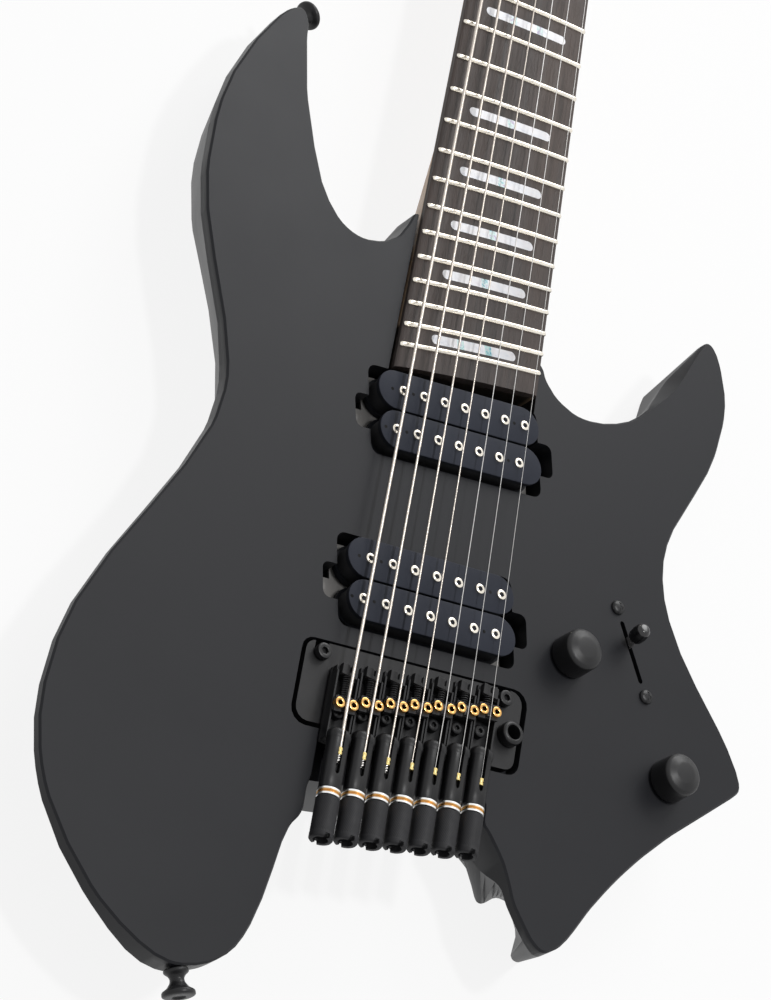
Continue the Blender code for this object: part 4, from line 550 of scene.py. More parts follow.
def string_metal(name):
    """String steel. A wound one has fine rings that follow the length kept in its attribute, and
    painted shade darkens the grooves between them.
    """
    wound = name == "Wound string"
    material, tree, shader = blank(name, 0.3, 1.0)
    length = tree.nodes.new("ShaderNodeAttribute")
    length.attribute_name = "along"
    wave = step_in(tree, "ShaderNodeMath", Value=length.outputs["Fac"])
    wave.operation = "MULTIPLY"
    wave.inputs[1].default_value = 2 * math.pi / WINDING
    rings = step_in(tree, "ShaderNodeMath", Value=wave.outputs["Value"])
    rings.operation = "SINE"
    rise = step_in(tree, "ShaderNodeMapRange", Value=rings.outputs["Value"], From_Min=-1.0)
    rise = rise.outputs["Result"]
    # Painted shade: the colour falls to low times bright in the troughs of the rings, 0.55 on a
    # wound string and 0.92 on a plain one.
    bright, low = ((0.66, 0.60, 0.54), 0.55) if wound else ((0.55, 0.54, 0.53), 0.92)
    painted(tree, shader, ramp(tree, rise, [(0.1, shade(bright, low)), (0.6, bright)]))
    raised(tree, shader, rise, 0.6 if wound else 0.05, 0.0001)
    return material


# Plain coats: name, colour, roughness, metallic, specular, cloud, grain, contrast and relief. A
# colour that is a word is the user's, times the number beside it.
COATS = {
    "lacquer": ("Satin charcoal lacquer", ("body", 1.0), 0.42, 0.0, 0.2, 5.0, 1400.0, 0.06, 0.03),
    "black_metal": ("Black plated metal", ("black_metal", 1.0), 0.38, 0.0, 0.3, 30.0, 4200.0,
                    0.12, 0.05),
    "module_metal": ("Gloss black metal", ("black_metal", 0.8), 0.42, 0.0, 0.26, 40.0, 5200.0,
                     0.15, 0.03),
    "knurl_metal": ("Knurled dark grip", ("black_metal", 1.9), 0.6, 0.0, 0.25, 60.0, 6000.0,
                    0.12, 0.12),
    "knob_metal": ("Satin knob metal", ("black_metal", 0.9), 0.42, 0.0, 0.32, 30.0, 3600.0,
                   0.1, 0.06),
    "gold_metal": ("Gold plate", ("gold", 1.0), 0.24, 1.0, 0.5, 60.0, 4000.0, 0.1, 0.04),
    "bright_steel": ("Bright steel washer", (0.88, 0.88, 0.87), 0.28, 1.0, 0.5, 60.0, 4000.0,
                     0.04, 0.03),
    "warm_steel": ("Warm polished steel", ("poles", 1.0), 0.24, 1.0, 0.5, 60.0, 4000.0, 0.08,
                   0.03),
    "nickel": ("Polished nickel", ("nickel", 1.0), 0.2, 1.0, 0.5, 60.0, 4000.0, 0.06, 0.03),
    # Brushed nickel with its colour cut to a quarter of the nickel's: painted shade that dims the
    # white world in its reflection.
    "dull_nickel": ("Dull nickel sheet", ("nickel", 0.25), 0.45, 1.0, 0.5, 40.0, 1800.0, 0.12,
                    0.06, (1, 0.08, 1)),
    "plain_steel": ("Zinc plated steel", (0.52, 0.53, 0.55), 0.38, 1.0, 0.5, 40.0, 2600.0,
                    0.12, 0.06),
    "black_plastic": ("Moulded black plastic", (0.022, 0.022, 0.024), 0.42, 0.0, 0.5, 25.0, 3000.0,
                      0.1, 0.12),
    "black_gloss": ("Gloss black", (0.006, 0.006, 0.007), 0.2, 0.0, 0.55, 40.0, 5200.0, 0.15,
                    0.02),
    "ball_brass": ("Ball brass", (0.80, 0.64, 0.27), 0.26, 1.0, 0.5, 60.0, 4000.0, 0.08, 0.03),
    "bobbin_plastic": ("Satin bobbin plastic", ("bobbin", 1.6), 0.4, 0.0, 0.06, 30.0, 4500.0,
                       0.1, 0.05),
    # A darker copy of the spools' plastic for the flange and rim sides: painted shade, with duller
    # gloss.
    "dull_plastic": ("Dull black plastic", ("bobbin", 0.45), 0.6, 0.0, 0.15, 30.0, 4500.0, 0.1,
                     0.05),
    # Near-black painted shade, laid in sockets, recesses and gaps where shade falls.
    "dark_gap": ("Dark recess", (0.004, 0.004, 0.004), 0.8, 0.0, 0.2, 40.0, 3000.0, 0.2, 0.1),
}
PATTERNS = {
    "coil_tape": ("Coil tape", coil_tape),
    "board_wood": ("Dark board wood", board_wood),
    "maple": ("Oiled maple", maple),
    "pearl": ("Mother of pearl", pearl),
    "abalone": ("Abalone", abalone),
    "wound_string": ("Wound string", string_metal),
    "plain_string": ("Plain string", string_metal),
}


def finished(label):
    """The material of a finish, made the first time that a piece asks for it."""
    name, *rest = COATS.get(label) or PATTERNS[label]
    made = bpy.data.materials.get(name)
    if made:
        return made
    return coat(name, *rest) if label in COATS else rest[0](name)


# ---- the fan of the strings

def outer_x(y):
    return HALF_SPREAD + (NUT_HALF - HALF_SPREAD) * y / THIN_SCALE


def fret_line(number):
    """The fret's ends under the outer strings, y = start + scale 2^(-n/12) for each of them."""
    share = 2 ** (-number / 12)
    thick, thin = THICK_START + THICK_SCALE * share, THIN_SCALE * share
    return np.array([(-outer_x(thick), thick), (outer_x(thin), thin)])


def across(line, shift=0.0):
    """The line moved along the neck and stretched to the board's straight tapered edges."""
    (x0, y0), (x1, y1) = line
    slope = (y1 - y0) / (x1 - x0)
    base = y0 + shift - slope * x0
    ends = []
    for side, (at_saddle, at_nut) in zip((-1, 1), MARGINS):
        start = HALF_SPREAD + at_saddle
        taper = (NUT_HALF + at_nut - start) / THIN_SCALE
        x = side * (start + taper * base) / (1 - side * taper * slope)
        ends.append((x, base + slope * x))
    return np.array(ends)


def crown(x):
    return x * x / (2 * PLAYING_RADIUS)


def string_x(number):
    return HALF_SPREAD - number * SPACING


def saddle_point(number):
    x = string_x(number)
    return np.array([x, -SADDLE_STEP * number, STRING_HEIGHT - crown(x)])


def nut_point(number):
    (x0, y0), (x1, y1) = fret_line(0)
    share = number / (STRINGS - 1)
    x = x1 + (x0 - x1) * share
    return np.array([x, y1 + (y0 - y1) * share, STRING_OVER_NUT - crown(x)])


def on_slant(x, ahead):
    return np.array([x, PIVOT_Y + x * LEAD + ahead / math.cos(SLANT)])


# ---- fingerboard

def make_board():
    """Rows run from the body end to the nut. Each crosses the board on z = top - x^2 / 2R, and
    its rounded edges drop to the underside."""
    end, nut = across(fret_line(FRETS), -BOARD_END), across(fret_line(0), -NUT_GAP)
    edges = end + (nut - end) * np.linspace(0, 1, BOARD_ROWS)[:, None, None]
    rim, fall = np.array([0, 0, 0.008, 0.03]), np.array([BOARD_THICK, 0.9, 0.35, 0])
    middle = np.linspace(0.08, 0.92, 11)
    part = np.concatenate([rim, middle, 1 - rim[::-1]])
    drop = np.concatenate([fall, 0 * middle, fall[::-1]])
    grid = np.empty((BOARD_ROWS, len(part), 3))
    grid[..., :2] = edges[:, :1] + (edges[:, 1:] - edges[:, :1]) * part[None, :, None]
    grid[..., 2] = BOARD_TOP - crown(grid[..., 0]) * (drop < BOARD_THICK) - drop
    piece("fingerboard", [skin(grid)], "board_wood", "instrument", ["fretboard"])


def make_frets():
    """Each wire is half an ellipse (w cos p, h sin p) carried across the board on its crown, and
    shrinks to nothing over its last millimetres."""
    angle = np.linspace(0, np.pi, 9)
    half, height = size("fret_width") / 2, size("fret_height")
    tip, rise = np.array([0.15, 0.35, 0.9, 1.6]), np.array([0.12, 0.5, 0.88, 1.0])
    swell = np.concatenate([rise, np.ones(12), rise[::-1]])
    parts = []
    for number in range(1, FRETS + 1):
        a, b = across(fret_line(number))
        length = np.linalg.norm(b - a)
        way = (b - a) / length
        square = np.array([-way[1], way[0]])
        run = np.concatenate([tip, np.linspace(3, length - 3, 12), length - tip[::-1]])
        centre = a + way * run[:, None]
        aside = np.sqrt(swell)[:, None] * half * np.cos(angle)
        grid = np.empty((len(run), len(angle), 3))
        grid[..., :2] = centre[:, None] + square * aside[..., None]
        base = BOARD_TOP - crown(centre[:, :1]) - 0.02
        grid[..., 2] = base + height * np.sin(angle) * swell[:, None]
        parts.append(skin(grid))
    piece("fret_wires", parts, "warm_steel", "instrument", smooth=60)


def bar(centre, way, length, width, low, high):
    """The part from low to high of a round-ended bar let into the board. Its half width at s is
    r within l of the middle, and sqrt(r^2 - (|s| - l)^2) beyond."""
    square = np.array([-way[1], way[0]])
    reach, round_end = length / 2 - width / 2, width / 2
    ends = reach + round_end * np.sin(np.linspace(0, np.pi / 2, 7))
    along = np.concatenate([-ends, np.linspace(low, high, 7), ends])
    along = np.unique(np.clip(along, low, high))
    wide = np.sqrt(np.maximum(round_end ** 2 - np.maximum(abs(along) - reach, 0) ** 2, 0.0004))
    side = np.linspace(-1, 1, 5)
    top = np.zeros((len(along), len(side), 3))
    top[..., :2] = centre + along[:, None, None] * way + (side * wide[:, None])[..., None] * square
    top[..., 2] = BOARD_TOP + 0.05 - crown(top[..., 0])
    return skin(np.concatenate([top, top[:, ::-1] - (0, 0, 0.6)], 1))


def make_inlays():
    """A pearl bar in each marked space, with abalone squares let into it."""
    bars, gems = [], []
    for space in INLAY_SPACES:
        middle = (across(fret_line(space)) + across(fret_line(space - 1))) / 2
        wide = np.linalg.norm(middle[1] - middle[0])
        way, length = (middle[1] - middle[0]) / wide, min(size("inlay_length"), wide - INLAY_EDGE)
        cuts = [-GEM_SHIFT, GEM_SHIFT] if space in DOUBLE_SPACES else [0.0]
        edges = [cut + side * GEM_HALF for cut in cuts for side in (-1, 1)]
        stops = [-length / 2, *edges, length / 2]
        for number, (low, high) in enumerate(zip(stops, stops[1:])):
            cut = bar(middle.mean(0), way, length, size("inlay_width"), low, high)
            (gems if number % 2 else bars).append(cut)
    piece("inlay_bars", bars, "pearl", "instrument", smooth=50)
    piece("inlay_gems", gems, "abalone", "instrument", smooth=50)


# ---- pickups

def make_pickup(name):
    """Two spools with rounded rims, tape round the coils and a row of hexagon poles in each. The
    poles sit under the strings, so each row is moved along by half the gap times tan(angle)."""
    x, y, degrees, spread = PICKUPS[name]
    angle = math.radians(degrees)
    pitch = spread / math.cos(angle) / (STRINGS - 1)
    radius, top = size("pole_radius"), BOBBIN_TOP
    outline = stadium(BOBBIN_LENGTH, BOBBIN_WIDTH)
    core = stadium(BOBBIN_LENGTH - COIL_INSET, BOBBIN_WIDTH - COIL_INSET)
    flange = [(0, BOBBIN_LOW), (0, BOBBIN_LOW + 2.2)]
    rim = [(0.4, top - 2.4), (0.1, top - 2.1), (0.1, top - 0.35)]
    lid = [(0.1, top - 0.4), (0, top - 0.3), (0.03, top - 0.14), (0.15, top - 0.03), (0.35, top)]
    wrap = [(0, BOBBIN_LOW + 2.1), (0, top - 2.3)]
    pole = [(0, -0.3), (1.1, -0.3), (1.1, 0.75), (1.3, 0.95), (radius - 0.35, 0.9),
            (radius - 0.08, 0.7), (radius, 0.4), (radius, -0.6), (0, -0.6)]
    # Near-black discs of painted shade: one at the bottom of each pole's hexagon socket, and one
    # laid on the spool's top for each hole.
    socket_shade = [(0, -0.28), (0.9, -0.28), (0.9, -0.05), (0, -0.05)]
    hole_shade = [(0, -0.5), (0.72, -0.5), (0.72, 0.03), (0, 0.03)]
    flanges, spools, tape, poles, dark = [], [], [], [], []
    for side in (-1, 1):
        row = turned([(0, side * ROW_GAP / 2)], (x, y), angle)[0]
        for made, shape, levels in ((flanges, outline, flange), (flanges, outline, rim),
                                    (spools, outline, lid), (tape, core, wrap)):
            points, faces = shelf(shape, levels)
            made.append((turned(points, row, angle), faces))
        places = (np.arange(STRINGS) - (STRINGS - 1) / 2) * pitch
        places += side * ROW_GAP / 2 * math.tan(angle)
        for place in places:
            centre = (*turned([(place, 0)], row, angle)[0], top)
            poles.append(lathe(pole, centre, sides=36, shapes="ohhoooooo"))
            dark.append(lathe(socket_shade, centre, sides=12))
        for place in (places[0] - RIVET_SHIFT, places[:2].mean(), places[-2:].mean()):
            dark.append(lathe(hole_shade, (*turned([(place, 0)], row, angle)[0], top), sides=16))
    for label, parts, finish, slot, nodes in (
            ("spools", spools, "bobbin_plastic", "bobbin_plastic", [f"{name}_pickup_bobbins"]),
            # The flanges and the sides of the top rim take the darker copy of the spools' plastic:
            # painted shade on the sides.
            ("flanges", flanges, "dull_plastic", "bobbin_plastic", []),
            ("tape", tape, "coil_tape", "bobbin_plastic", []),
            ("poles", poles, "warm_steel", "nickel", []),
            ("holes", dark, "dark_gap", "bobbin_plastic", [])):
        piece(f"{name}_pickup_{label}", parts, finish, "instrument", nodes)


# ---- tremolo

def hex_screw(centre, radius, low, top, key, depth, sides=48):
    """A cap screw: a turned head whose middle rows are a hexagon sunk below its face."""
    soft = radius * 0.12
    return lathe([(0, top - depth), (key, top - depth), (key, top - 0.1), (key * 1.12, top),
                  (radius - soft, top), (radius - soft * 0.3, top - soft * 0.3),
                  (radius, top - soft), (radius, low), (0, low)], centre, UP, sides, "ohhoooooo")


def make_studs():
    """The two pivot screws: a flanged head with a hexagon socket, a waist and a threaded shank."""
    for side, name in ((-1, "bass"), (1, "treble")):
        centre = (*on_slant(side * STUD_SPREAD, 0), FACE)
        shank = lathe([(0, -30), (3.5, -30), (3.5, -5.6), (2.5, -5.2), (2.5, 0.3), (0, 0.3)],
                      centre)
        head = hex_screw(centre, 3.2, 0.2, 2.7, 1.6, 1.6)
        piece(f"pivot_screw_{name}", [head, shank], "black_metal", "instrument",
              [f"pivot_stud_{name}"])


def make_arm_socket():
    """A turned collar with a bore that is open at the top."""
    profile = rounded_profile([(0, -3.3), (3.0, -3.3), (3.0, 4.2), (3.9, 4.2), (4.9, 3.6),
                               (5.0, 1.4), (4.9, -0.25), (3.8, -0.25), (3.8, -4.9),
                               (0, -4.9)], 0.45)
    piece("arm_collar", [lathe(profile, (*ARM_PLACE, FACE), sides=48)], "black_metal", "tremolo",
          ["arm_socket"])


def make_modules():
    """Seven open troughs with a split block in front, and seven slotted barrels behind them."""
    troughs, barrels = [], []
    half, floor, edge = MODULE_WIDTH / 2, MODULE_LOW + 1.5, 3.5
    base = floor - 0.1
    for number in range(STRINGS):
        x, back = string_x(number), MODULE_STEP * number
        front, rear = MODULE_FRONT - back, BARREL_FRONT - back
        stop = front - 4.8
        boxes = [
            (-half, rear - 3, MODULE_LOW, half, front - 0.8, floor),
            (-half, rear - 2.5, base, -half + MODULE_WALL, stop + 1.5, 47.5),
            (half - MODULE_WALL, rear - 2.5, base, half, stop + 1.5, 47.5),
            (-half + 0.3, stop, base, half - 0.3, front - 0.6, 46.2),
            (-edge, stop, 46.0, edge, front, 47.7),
            (-edge, stop + 0.1, 47.4, -0.45, front - 0.1, 48.5),
            (0.45, stop + 0.1, 47.4, edge, front - 0.1, 48.5),
            (-0.6, stop + 0.2, 47.4, 0.6, front - 3.1, 48.4),
            (-half + 0.2, rear - 2.8, base, half - 0.2, rear + 1.2, 46.4),
        ]
        troughs += [block((x + x0, y0, z0), (x + x1, y1, z1)) for x0, y0, z0, x1, y1, z1 in boxes]
        barrels.append(barrel(x, rear))
    piece("module_troughs", troughs, "black_metal", "tremolo", ["tuner_modules"],
          bevel=0.22)
    piece("tuner_barrels", barrels, "module_metal", "tremolo", smooth=40)


def barrel(x, front):
    """A tube open along its top. Each row is an outer arc and an inner arc from one lip of the
    slot round to the other. The upper half is flattened to |s|^p + |c / flat|^p = 1, and the
    front swells to a hood."""
    reach = BARREL_END - BARREL_FRONT
    y = np.array([1.5, 1.1, 0.4, -0.6, -2.2, -2.8, -3.2, -11, -16.6, -17.3, -17.6, -17.9,
                  reach + 0.4, reach])
    outer = np.array([2.6, 3.7, 4.5, 4.8, 4.8, 4.55, *[4.35] * 7, 4.0])
    inner = np.array([*[0.4] * 5, *[2.9] * 9])
    lip = np.array([*[1] * 9, 0.8, 0.5, 0.02, 0.02, 0.02]) * size("slot_width") / 2
    flat, power, count = 0.76, 2.6, 40
    steps = np.linspace(-1, 1, count)
    grid = np.empty((len(y), 2 * count, 3))
    for radius, where, order in ((outer, slice(0, count), 1), (inner, slice(count, None), -1)):
        opening = np.arcsin(np.clip(lip / np.maximum(radius, lip + 0.01), 0, 0.98))
        angle = steps[::order] * (np.pi - opening)[:, None]
        across_part, up_part = abs(np.sin(angle)), np.maximum(-np.cos(angle), 0)
        upper = (across_part ** power + (up_part / flat) ** power) ** (-1 / power)
        reach_out = radius[:, None] * np.where(up_part > 0, upper, 1)
        grid[:, where, 0] = x + reach_out * np.sin(angle)
        grid[:, where, 2] = BARREL_AXIS - reach_out * np.cos(angle)
        grid[:, where, 1] = (front + y)[:, None]
    points, faces = skin(grid, ends=False)
    wide, here = 2 * count, np.arange(count - 1)
    ring = np.stack([here, here + 1, wide - 2 - here, wide - 1 - here], 1)
    return points, faces + ring.tolist() + (ring[:, ::-1] + (len(y) - 1) * wide).tolist()


def make_saddles():
    """For each string a slanted carriage with a crest, two gold height screws, its spring and
    lock. The crest's section is extruded along X, and its corners drop at both sides."""
    aside = np.array([-1.25, -0.9, -0.45, 0.45, 0.9, 1.25])
    lower = np.array([0.5, 0.1, 0.0, 0.0, 0.1, 0.5])
    foot, shoulder, low, half = 48.2, 50.0, 43.6, 3.6
    for number in range(STRINGS):
        label = number + 1
        body = f"saddle_{label}_carriage"
        x, y, z = saddle_point(number)
        top, lock = z - DIAMETERS[number] / 2 - 0.15, LOCK_Y - MODULE_STEP * number
        section = np.array([(-1.9, foot), (-1.9, shoulder), (-1.0, top - 0.3), (0, top),
                            (1.0, top - 0.25), (2.2, shoulder), (2.2, foot)])
        grid = np.empty((len(aside), len(section), 3))
        grid[..., 0] = x + aside[:, None]
        grid[..., 1] = y + section[:, 0] + aside[:, None] * LEAD
        grid[..., 2] = section[:, 1] - (section[:, 1] > foot) * lower[:, None]
        toe = max(y - 1.5, lock + LOCK_RADIUS + LOCK_ROOM)
        front = y + 3.9
        parts = [skin(grid), block((x - half, y - 1.5, low + 2.9), (x + half, front, foot + 0.05)),
                 block((x - half, toe, low), (x + half, front, low + 3.0)),
                 block((x - 5.0, y - 2.2, foot - 0.2), (x + 5.0, y + 2.9, 49.5 - crown(x)), LEAD)]
        screws, socket_shades = [], []
        for side in (-1, 1):
            aside_x, middle = x + side * SCREW_SHIFT, y + 0.7 + side * SCREW_SHIFT * LEAD
            parts.append(block((aside_x - 1.7, middle - 3.5, 47.9),
                               (aside_x + 1.7, middle + 3.3, 50.1 - crown(x)), LEAD))
            screws.append(hex_screw((aside_x, middle, 0), 2.12, z - 2.4, z - 0.05, 1.2, 1.6))
            # A near-black disc of painted shade at the bottom of each screw's hexagon socket.
            socket_shade = [(0, z - 1.6), (1.0, z - 1.6), (1.0, z - 1.3), (0, z - 1.3)]
            socket_shades.append(lathe(socket_shade, (aside_x, middle, 0), sides=16))
        piece(f"saddle_block_{label}", parts, "black_metal", body,
              [f"saddle_{label}"], bevel=0.22)
        piece(f"saddle_wells_{label}", socket_shades, "dark_gap", body)
        piece(f"saddle_screws_{label}", screws, "gold_metal", body)
        wall, height = MODULE_FRONT - MODULE_STEP * number - 4.6, 46.4
        turns = max(2.5, (wall - front) / 0.95)
        wire = coil((x, wall + 0.1, height), (x, front - 0.1, height), 1.55, 0.27, turns)
        spring = piece(f"intonation_spring_{label}", [wire], "black_metal", None,
                       smooth=80)
        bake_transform(spring)
    dome = rounded_profile([(0, 2.9), (0.9, 2.9), (0.9, 4.3), (1.9, 4.35), (2.6, 3.9),
                            (LOCK_RADIUS, 1.2), (0, 1.2)], 0.3)
    locks = [lathe(dome, (string_x(number) - 0.7, LOCK_Y - MODULE_STEP * number, FACE))
             for number in range(STRINGS)]
    piece("lock_screws", locks, "module_metal", "tremolo")


def make_grip(x, front):
    """Its radius is r + d (cos(n a + k y) + cos(n a - k y)) / 2, a crossed knurl, and its rim has
    a notch from side to side."""
    angle = np.arange(GRIP_SIDES) * 2 * np.pi / GRIP_SIDES
    cut = abs((angle + np.pi / 2) % np.pi - np.pi / 2) < NOTCH_TURN
    run = np.concatenate([[0.0, 0.3], np.linspace(0.7, 14.4, 46), [14.7, 15.0]])
    deep = np.full(len(run), size("knurl_depth"))
    deep[:2] = deep[-2:] = 0
    radius = np.full(len(run), GRIP_RADIUS)
    radius[0] -= 0.3
    turns = 2 * np.pi * run[:, None] / KNURL_PITCH
    wave = (np.cos(KNURLS * angle + turns) + np.cos(KNURLS * angle - turns)) / 2
    reach = [np.zeros((1, GRIP_SIDES)), radius[:, None] + deep[:, None] * (wave - 1) * 0.5]
    along = [np.zeros((1, GRIP_SIDES)), np.broadcast_to(run[:, None], wave.shape)]
    for inset, at in ((0, GRIP_LENGTH - 0.5), (0.35, GRIP_LENGTH), (1.7, GRIP_LENGTH),
                      (1.9, GRIP_LENGTH - 2.6), (GRIP_RADIUS, GRIP_LENGTH - 2.6)):
        reach.append(np.full((1, GRIP_SIDES), GRIP_RADIUS - inset))
        along.append((at - cut * max(0.0, at - (GRIP_LENGTH - NOTCH_DEPTH)))[None])
    reach, along = np.concatenate(reach), np.concatenate(along)
    return skin(np.stack([x + reach * np.sin(angle), front - along,
                          BARREL_AXIS + reach * np.cos(angle)], -1), ends=False)


def make_tuners():
    """For each string four washers, a knurled grip and the screw that draws the string."""
    rings = (("silver", "bright_steel", [(0.0, 0.95), (2.15, 3.1)]),
             ("gold", "gold_metal", [(1.07, 1.5), (1.62, 2.05)]))
    for number in range(STRINGS):
        label, x = number + 1, string_x(number)
        start = BARREL_END - MODULE_STEP * number - 0.3
        body = f"tuner_{label}_knob"
        for metal, finish, spans in rings:
            parts = [lathe([(1.6, -a), (4.35, -a), (4.5, -a - 0.12), (4.5, -b + 0.12), (4.35, -b),
                            (1.6, -b), (1.6, -a)], (x, start, BARREL_AXIS), (0, 1, 0))
                     for a, b in spans]
            piece(f"tuner_washers_{label}_{metal}", parts, finish, body, smooth=45)
        rod = min(14.0, BALL_Y - 0.2 - BALL_STEP * number - start)
        core = lathe([(0, 3.4), (3.9, 3.4), (3.9, -0.2), (1.3, -0.3), (1.3, -rod), (0, -rod)],
                     (x, start, BARREL_AXIS), (0, -1, 0), 24)
        piece(f"tuner_grip_{label}", [make_grip(x, start - 3.5)], "knurl_metal", body,
              [f"tuner_knob_{label}"], smooth=60)
        # The screw and its disc take the near-black painted shade finish: shade in the gaps
        # between the washers and in the barrel's slot.
        piece(f"tuner_screw_{label}", [core], "dark_gap", body)


def make_string_ends():
    """The ball that ends each string, the twist behind a wound one, and the carriage of both: an
    arc (r sin a, -r cos a) cut off flat under the ball."""
    turn = np.linspace(-0.72 * np.pi, 0.72 * np.pi, 20)
    section = np.stack([2.45 * np.sin(turn), -2.45 * np.cos(turn)], 1)
    section[:, 1] = np.minimum(section[:, 1], BALL_HEIGHT - 1.05 - BARREL_AXIS)
    spool = rounded_profile([(0, -1.45), (1.1, -1.45), (1.1, -0.35), (0.95, -0.2), (0.95, 0.2),
                             (1.1, 0.35), (1.1, 1.45), (0, 1.45)], 0.12)
    for number in range(STRINGS):
        label, x = number + 1, string_x(number)
        y = BALL_Y - BALL_STEP * number
        body = f"tuner_{label}_puller"
        grid = np.empty((4, len(section), 3))
        grid[..., 0], grid[..., 2] = x + section[:, 0], BARREL_AXIS + section[:, 1]
        grid[..., 1] = y + np.array([2.3, 2.0, -7.2, -7.5])[:, None]
        piece(f"puller_carriage_{label}", [skin(grid)], "module_metal", body,
              [f"string_puller_{label}"])
        piece(f"string_ball_{label}", [lathe(spool, (x, y, BALL_HEIGHT), (0, 1, 0), 24)],
              "ball_brass", body)
        if number > FIRST_WOUND:
            height = BALL_HEIGHT - 0.1
            twist = coil((x, y - 1.4, height), (x, y - 4.9, height), 0.42, 0.36, 3.2, 8, 16)
            piece(f"string_twist_{label}", [twist], "nickel", body, smooth=80)


# ---- strings

def round_string(name, path, number, nodes=()):
    """A tube along the path that keeps, for its finish, how far along it each ring is."""
    sides = 10
    steps = np.linalg.norm(np.diff(path, axis=0), axis=1)
    travel = np.concatenate([[0], np.cumsum(steps)])
    return piece(name, [tube(path, DIAMETERS[number] / 2, sides)],
                 "wound_string" if number >= FIRST_WOUND else "plain_string", None,
                 nodes, smooth=80, along=np.repeat(travel, sides))


def make_strings():
    """Each string runs straight from the lock over the nut to the saddle, bends over it on a
    quadratic arc and falls to its ball."""
    for number in range(STRINGS):
        label = number + 1
        saddle, nut = saddle_point(number), nut_point(number)
        length = np.linalg.norm(nut - saddle)
        way, fall = (nut - saddle) / length, nut - saddle
        fall[2] = -np.linalg.norm(fall) * STRING_FALL
        fall /= np.linalg.norm(fall)
        run = np.concatenate([np.linspace(0, 36, 13), np.linspace(60, length - 2, 16)])
        held = np.array([[0.0], [1.5], [8.0], [STRING_HELD]])
        path = np.concatenate([saddle + way * run[:, None], nut + fall * held])
        main = round_string(f"string_line_{label}", path, number, [f"string_{label}"])
        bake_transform(main)

        ball = np.array([string_x(number), BALL_Y - BALL_STEP * number + 0.9, BALL_HEIGHT])
        drop = ball - saddle
        start, control, end = saddle + way * 0.4, saddle - (0, 1.2, 0), saddle + drop * 0.12
        t = np.linspace(0, 1, 8)[:, None]
        bend = (1 - t) ** 2 * start + 2 * t * (1 - t) * control + t * t * end
        tail = np.concatenate([bend, saddle + drop * np.linspace(0.2, 1, 12)[:, None]])
        rear = round_string(f"string_tail_{label}", tail, number)
        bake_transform(rear)


# ---- controls and fittings

def make_control_knobs():
    """Turned knobs: a slightly tapered side, a bright rounded rim and a shallow dome."""
    profile = rounded_profile([(0, 8.6), (3.1, 8.6), (3.1, 0.9), (8.3, 0.9), (8.95, 1.3),
                               (8.72, 10.6), (7.7, 11.6), (4.5, 12.75), (0, 13.15)], 0.7, 6)
    for name, place in (("volume", VOLUME_PLACE), ("tone", TONE_PLACE)):
        piece(f"{name}_dial", [lathe(profile, (*place, FACE), sides=72)], "knob_metal",
              f"{name}_control", [f"{name}_knob"])


def make_selector():
    """A flat blade that leans out of the slot, its turned tip, and two cross screws."""
    along = np.array([math.cos(SELECTOR_TURN), math.sin(SELECTOR_TURN), 0])
    thick = np.array([-along[1], along[0], 0]) * 0.65
    pivot = np.array([*SELECTOR_PLACE, LEVER_PIVOT])
    cosine, sine = math.cos(LEVER_LEAN), math.sin(LEVER_LEAN)
    up, level = np.array([0, 0, cosine]) - along * sine, along * cosine + np.array([0, 0, sine])
    reach = LEVER_TOP / cosine
    foot = np.linspace(np.pi, 2 * np.pi, 9)
    head = [(2.3, reach - 9), (1.6, reach - 3), (-1.6, reach - 3), (-2.3, reach - 9)]
    outline = np.concatenate([np.stack([2.4 * np.cos(foot), 2.4 * np.sin(foot)], 1), head])
    flat = pivot + outline[:, :1] * level + outline[:, 1:] * up
    piece("selector_blade", [skin(np.stack([flat - thick, flat + thick]))], "nickel",
          "selector_control", ["selector_lever"], bevel=0.15)
    tip = rounded_profile([(0, reach - 8.2), (2.6, reach - 8.2), (3.3, reach - 7.0),
                           (3.55, reach - 4.0), (3.1, reach - 1.2), (2.0, reach),
                           (0, reach + 0.1)], 0.6, 5)
    piece("selector_tip", [lathe(tip, pivot, up, 40)], "black_gloss", "selector_control")
    dome = [(0, 1.22), (1.75, 1.25), (1.8, 1.6), (2.2, 1.5), (2.8, 1.1), (3.1, 0.5), (3.1, 0.2),
            (0, 0.2)]
    # A near-black cross of painted shade at the bottom of each screw's cross recess.
    socket_shade = [(0, 1.35), (1.7, 1.35), (1.7, 1.24), (0, 1.24)]
    middle = np.array([*SELECTOR_PLACE, FACE])
    places = [middle + along * side * SELECTOR_SCREW for side in (-1, 1)]
    for name, profile, shapes, finish in (("screws", dome, "oxxooooo", "black_metal"),
                                          ("screw_wells", socket_shade, "oxxo", "dark_gap")):
        parts = [lathe(profile, place, UP, 64, shapes) for place in places]
        piece(f"selector_{name}", parts, finish, "instrument")


def make_fittings():
    """Strap buttons and the output socket, turned with rounded edges."""
    peg = rounded_profile([(0, -12), (2, -12), (2, 0.3), (4.6, 0.3), (4.7, 1.4), (3.2, 2.6),
                           (2.6, 3.8), (2.8, 5.2), (4.2, 7.2), (6.1, 8.4), (6.2, 9.9), (5.2, 10.4),
                           (2.6, 10.6), (2.4, 9.9), (0, 9.9)], 0.5)
    for name, (centre, way) in BUTTONS.items():
        piece(f"strap_peg_{name}", [lathe(peg, centre, way, 48)], "black_metal", "instrument",
              [f"strap_button_{name}"])
    socket = rounded_profile([(0, -24), (6, -24), (6, 0.3), (8, 0.3), (8, 2.0), (7.2, 2.3),
                              (4.6, 2.3), (4.2, 2.9), (3.3, 2.9), (3.3, -19.7), (0, -19.7)], 0.35)
    piece("output_socket", [lathe(socket, JACK_SEAT, JACK_WAY, 48)], "nickel", "instrument",
          ["output_jack"])


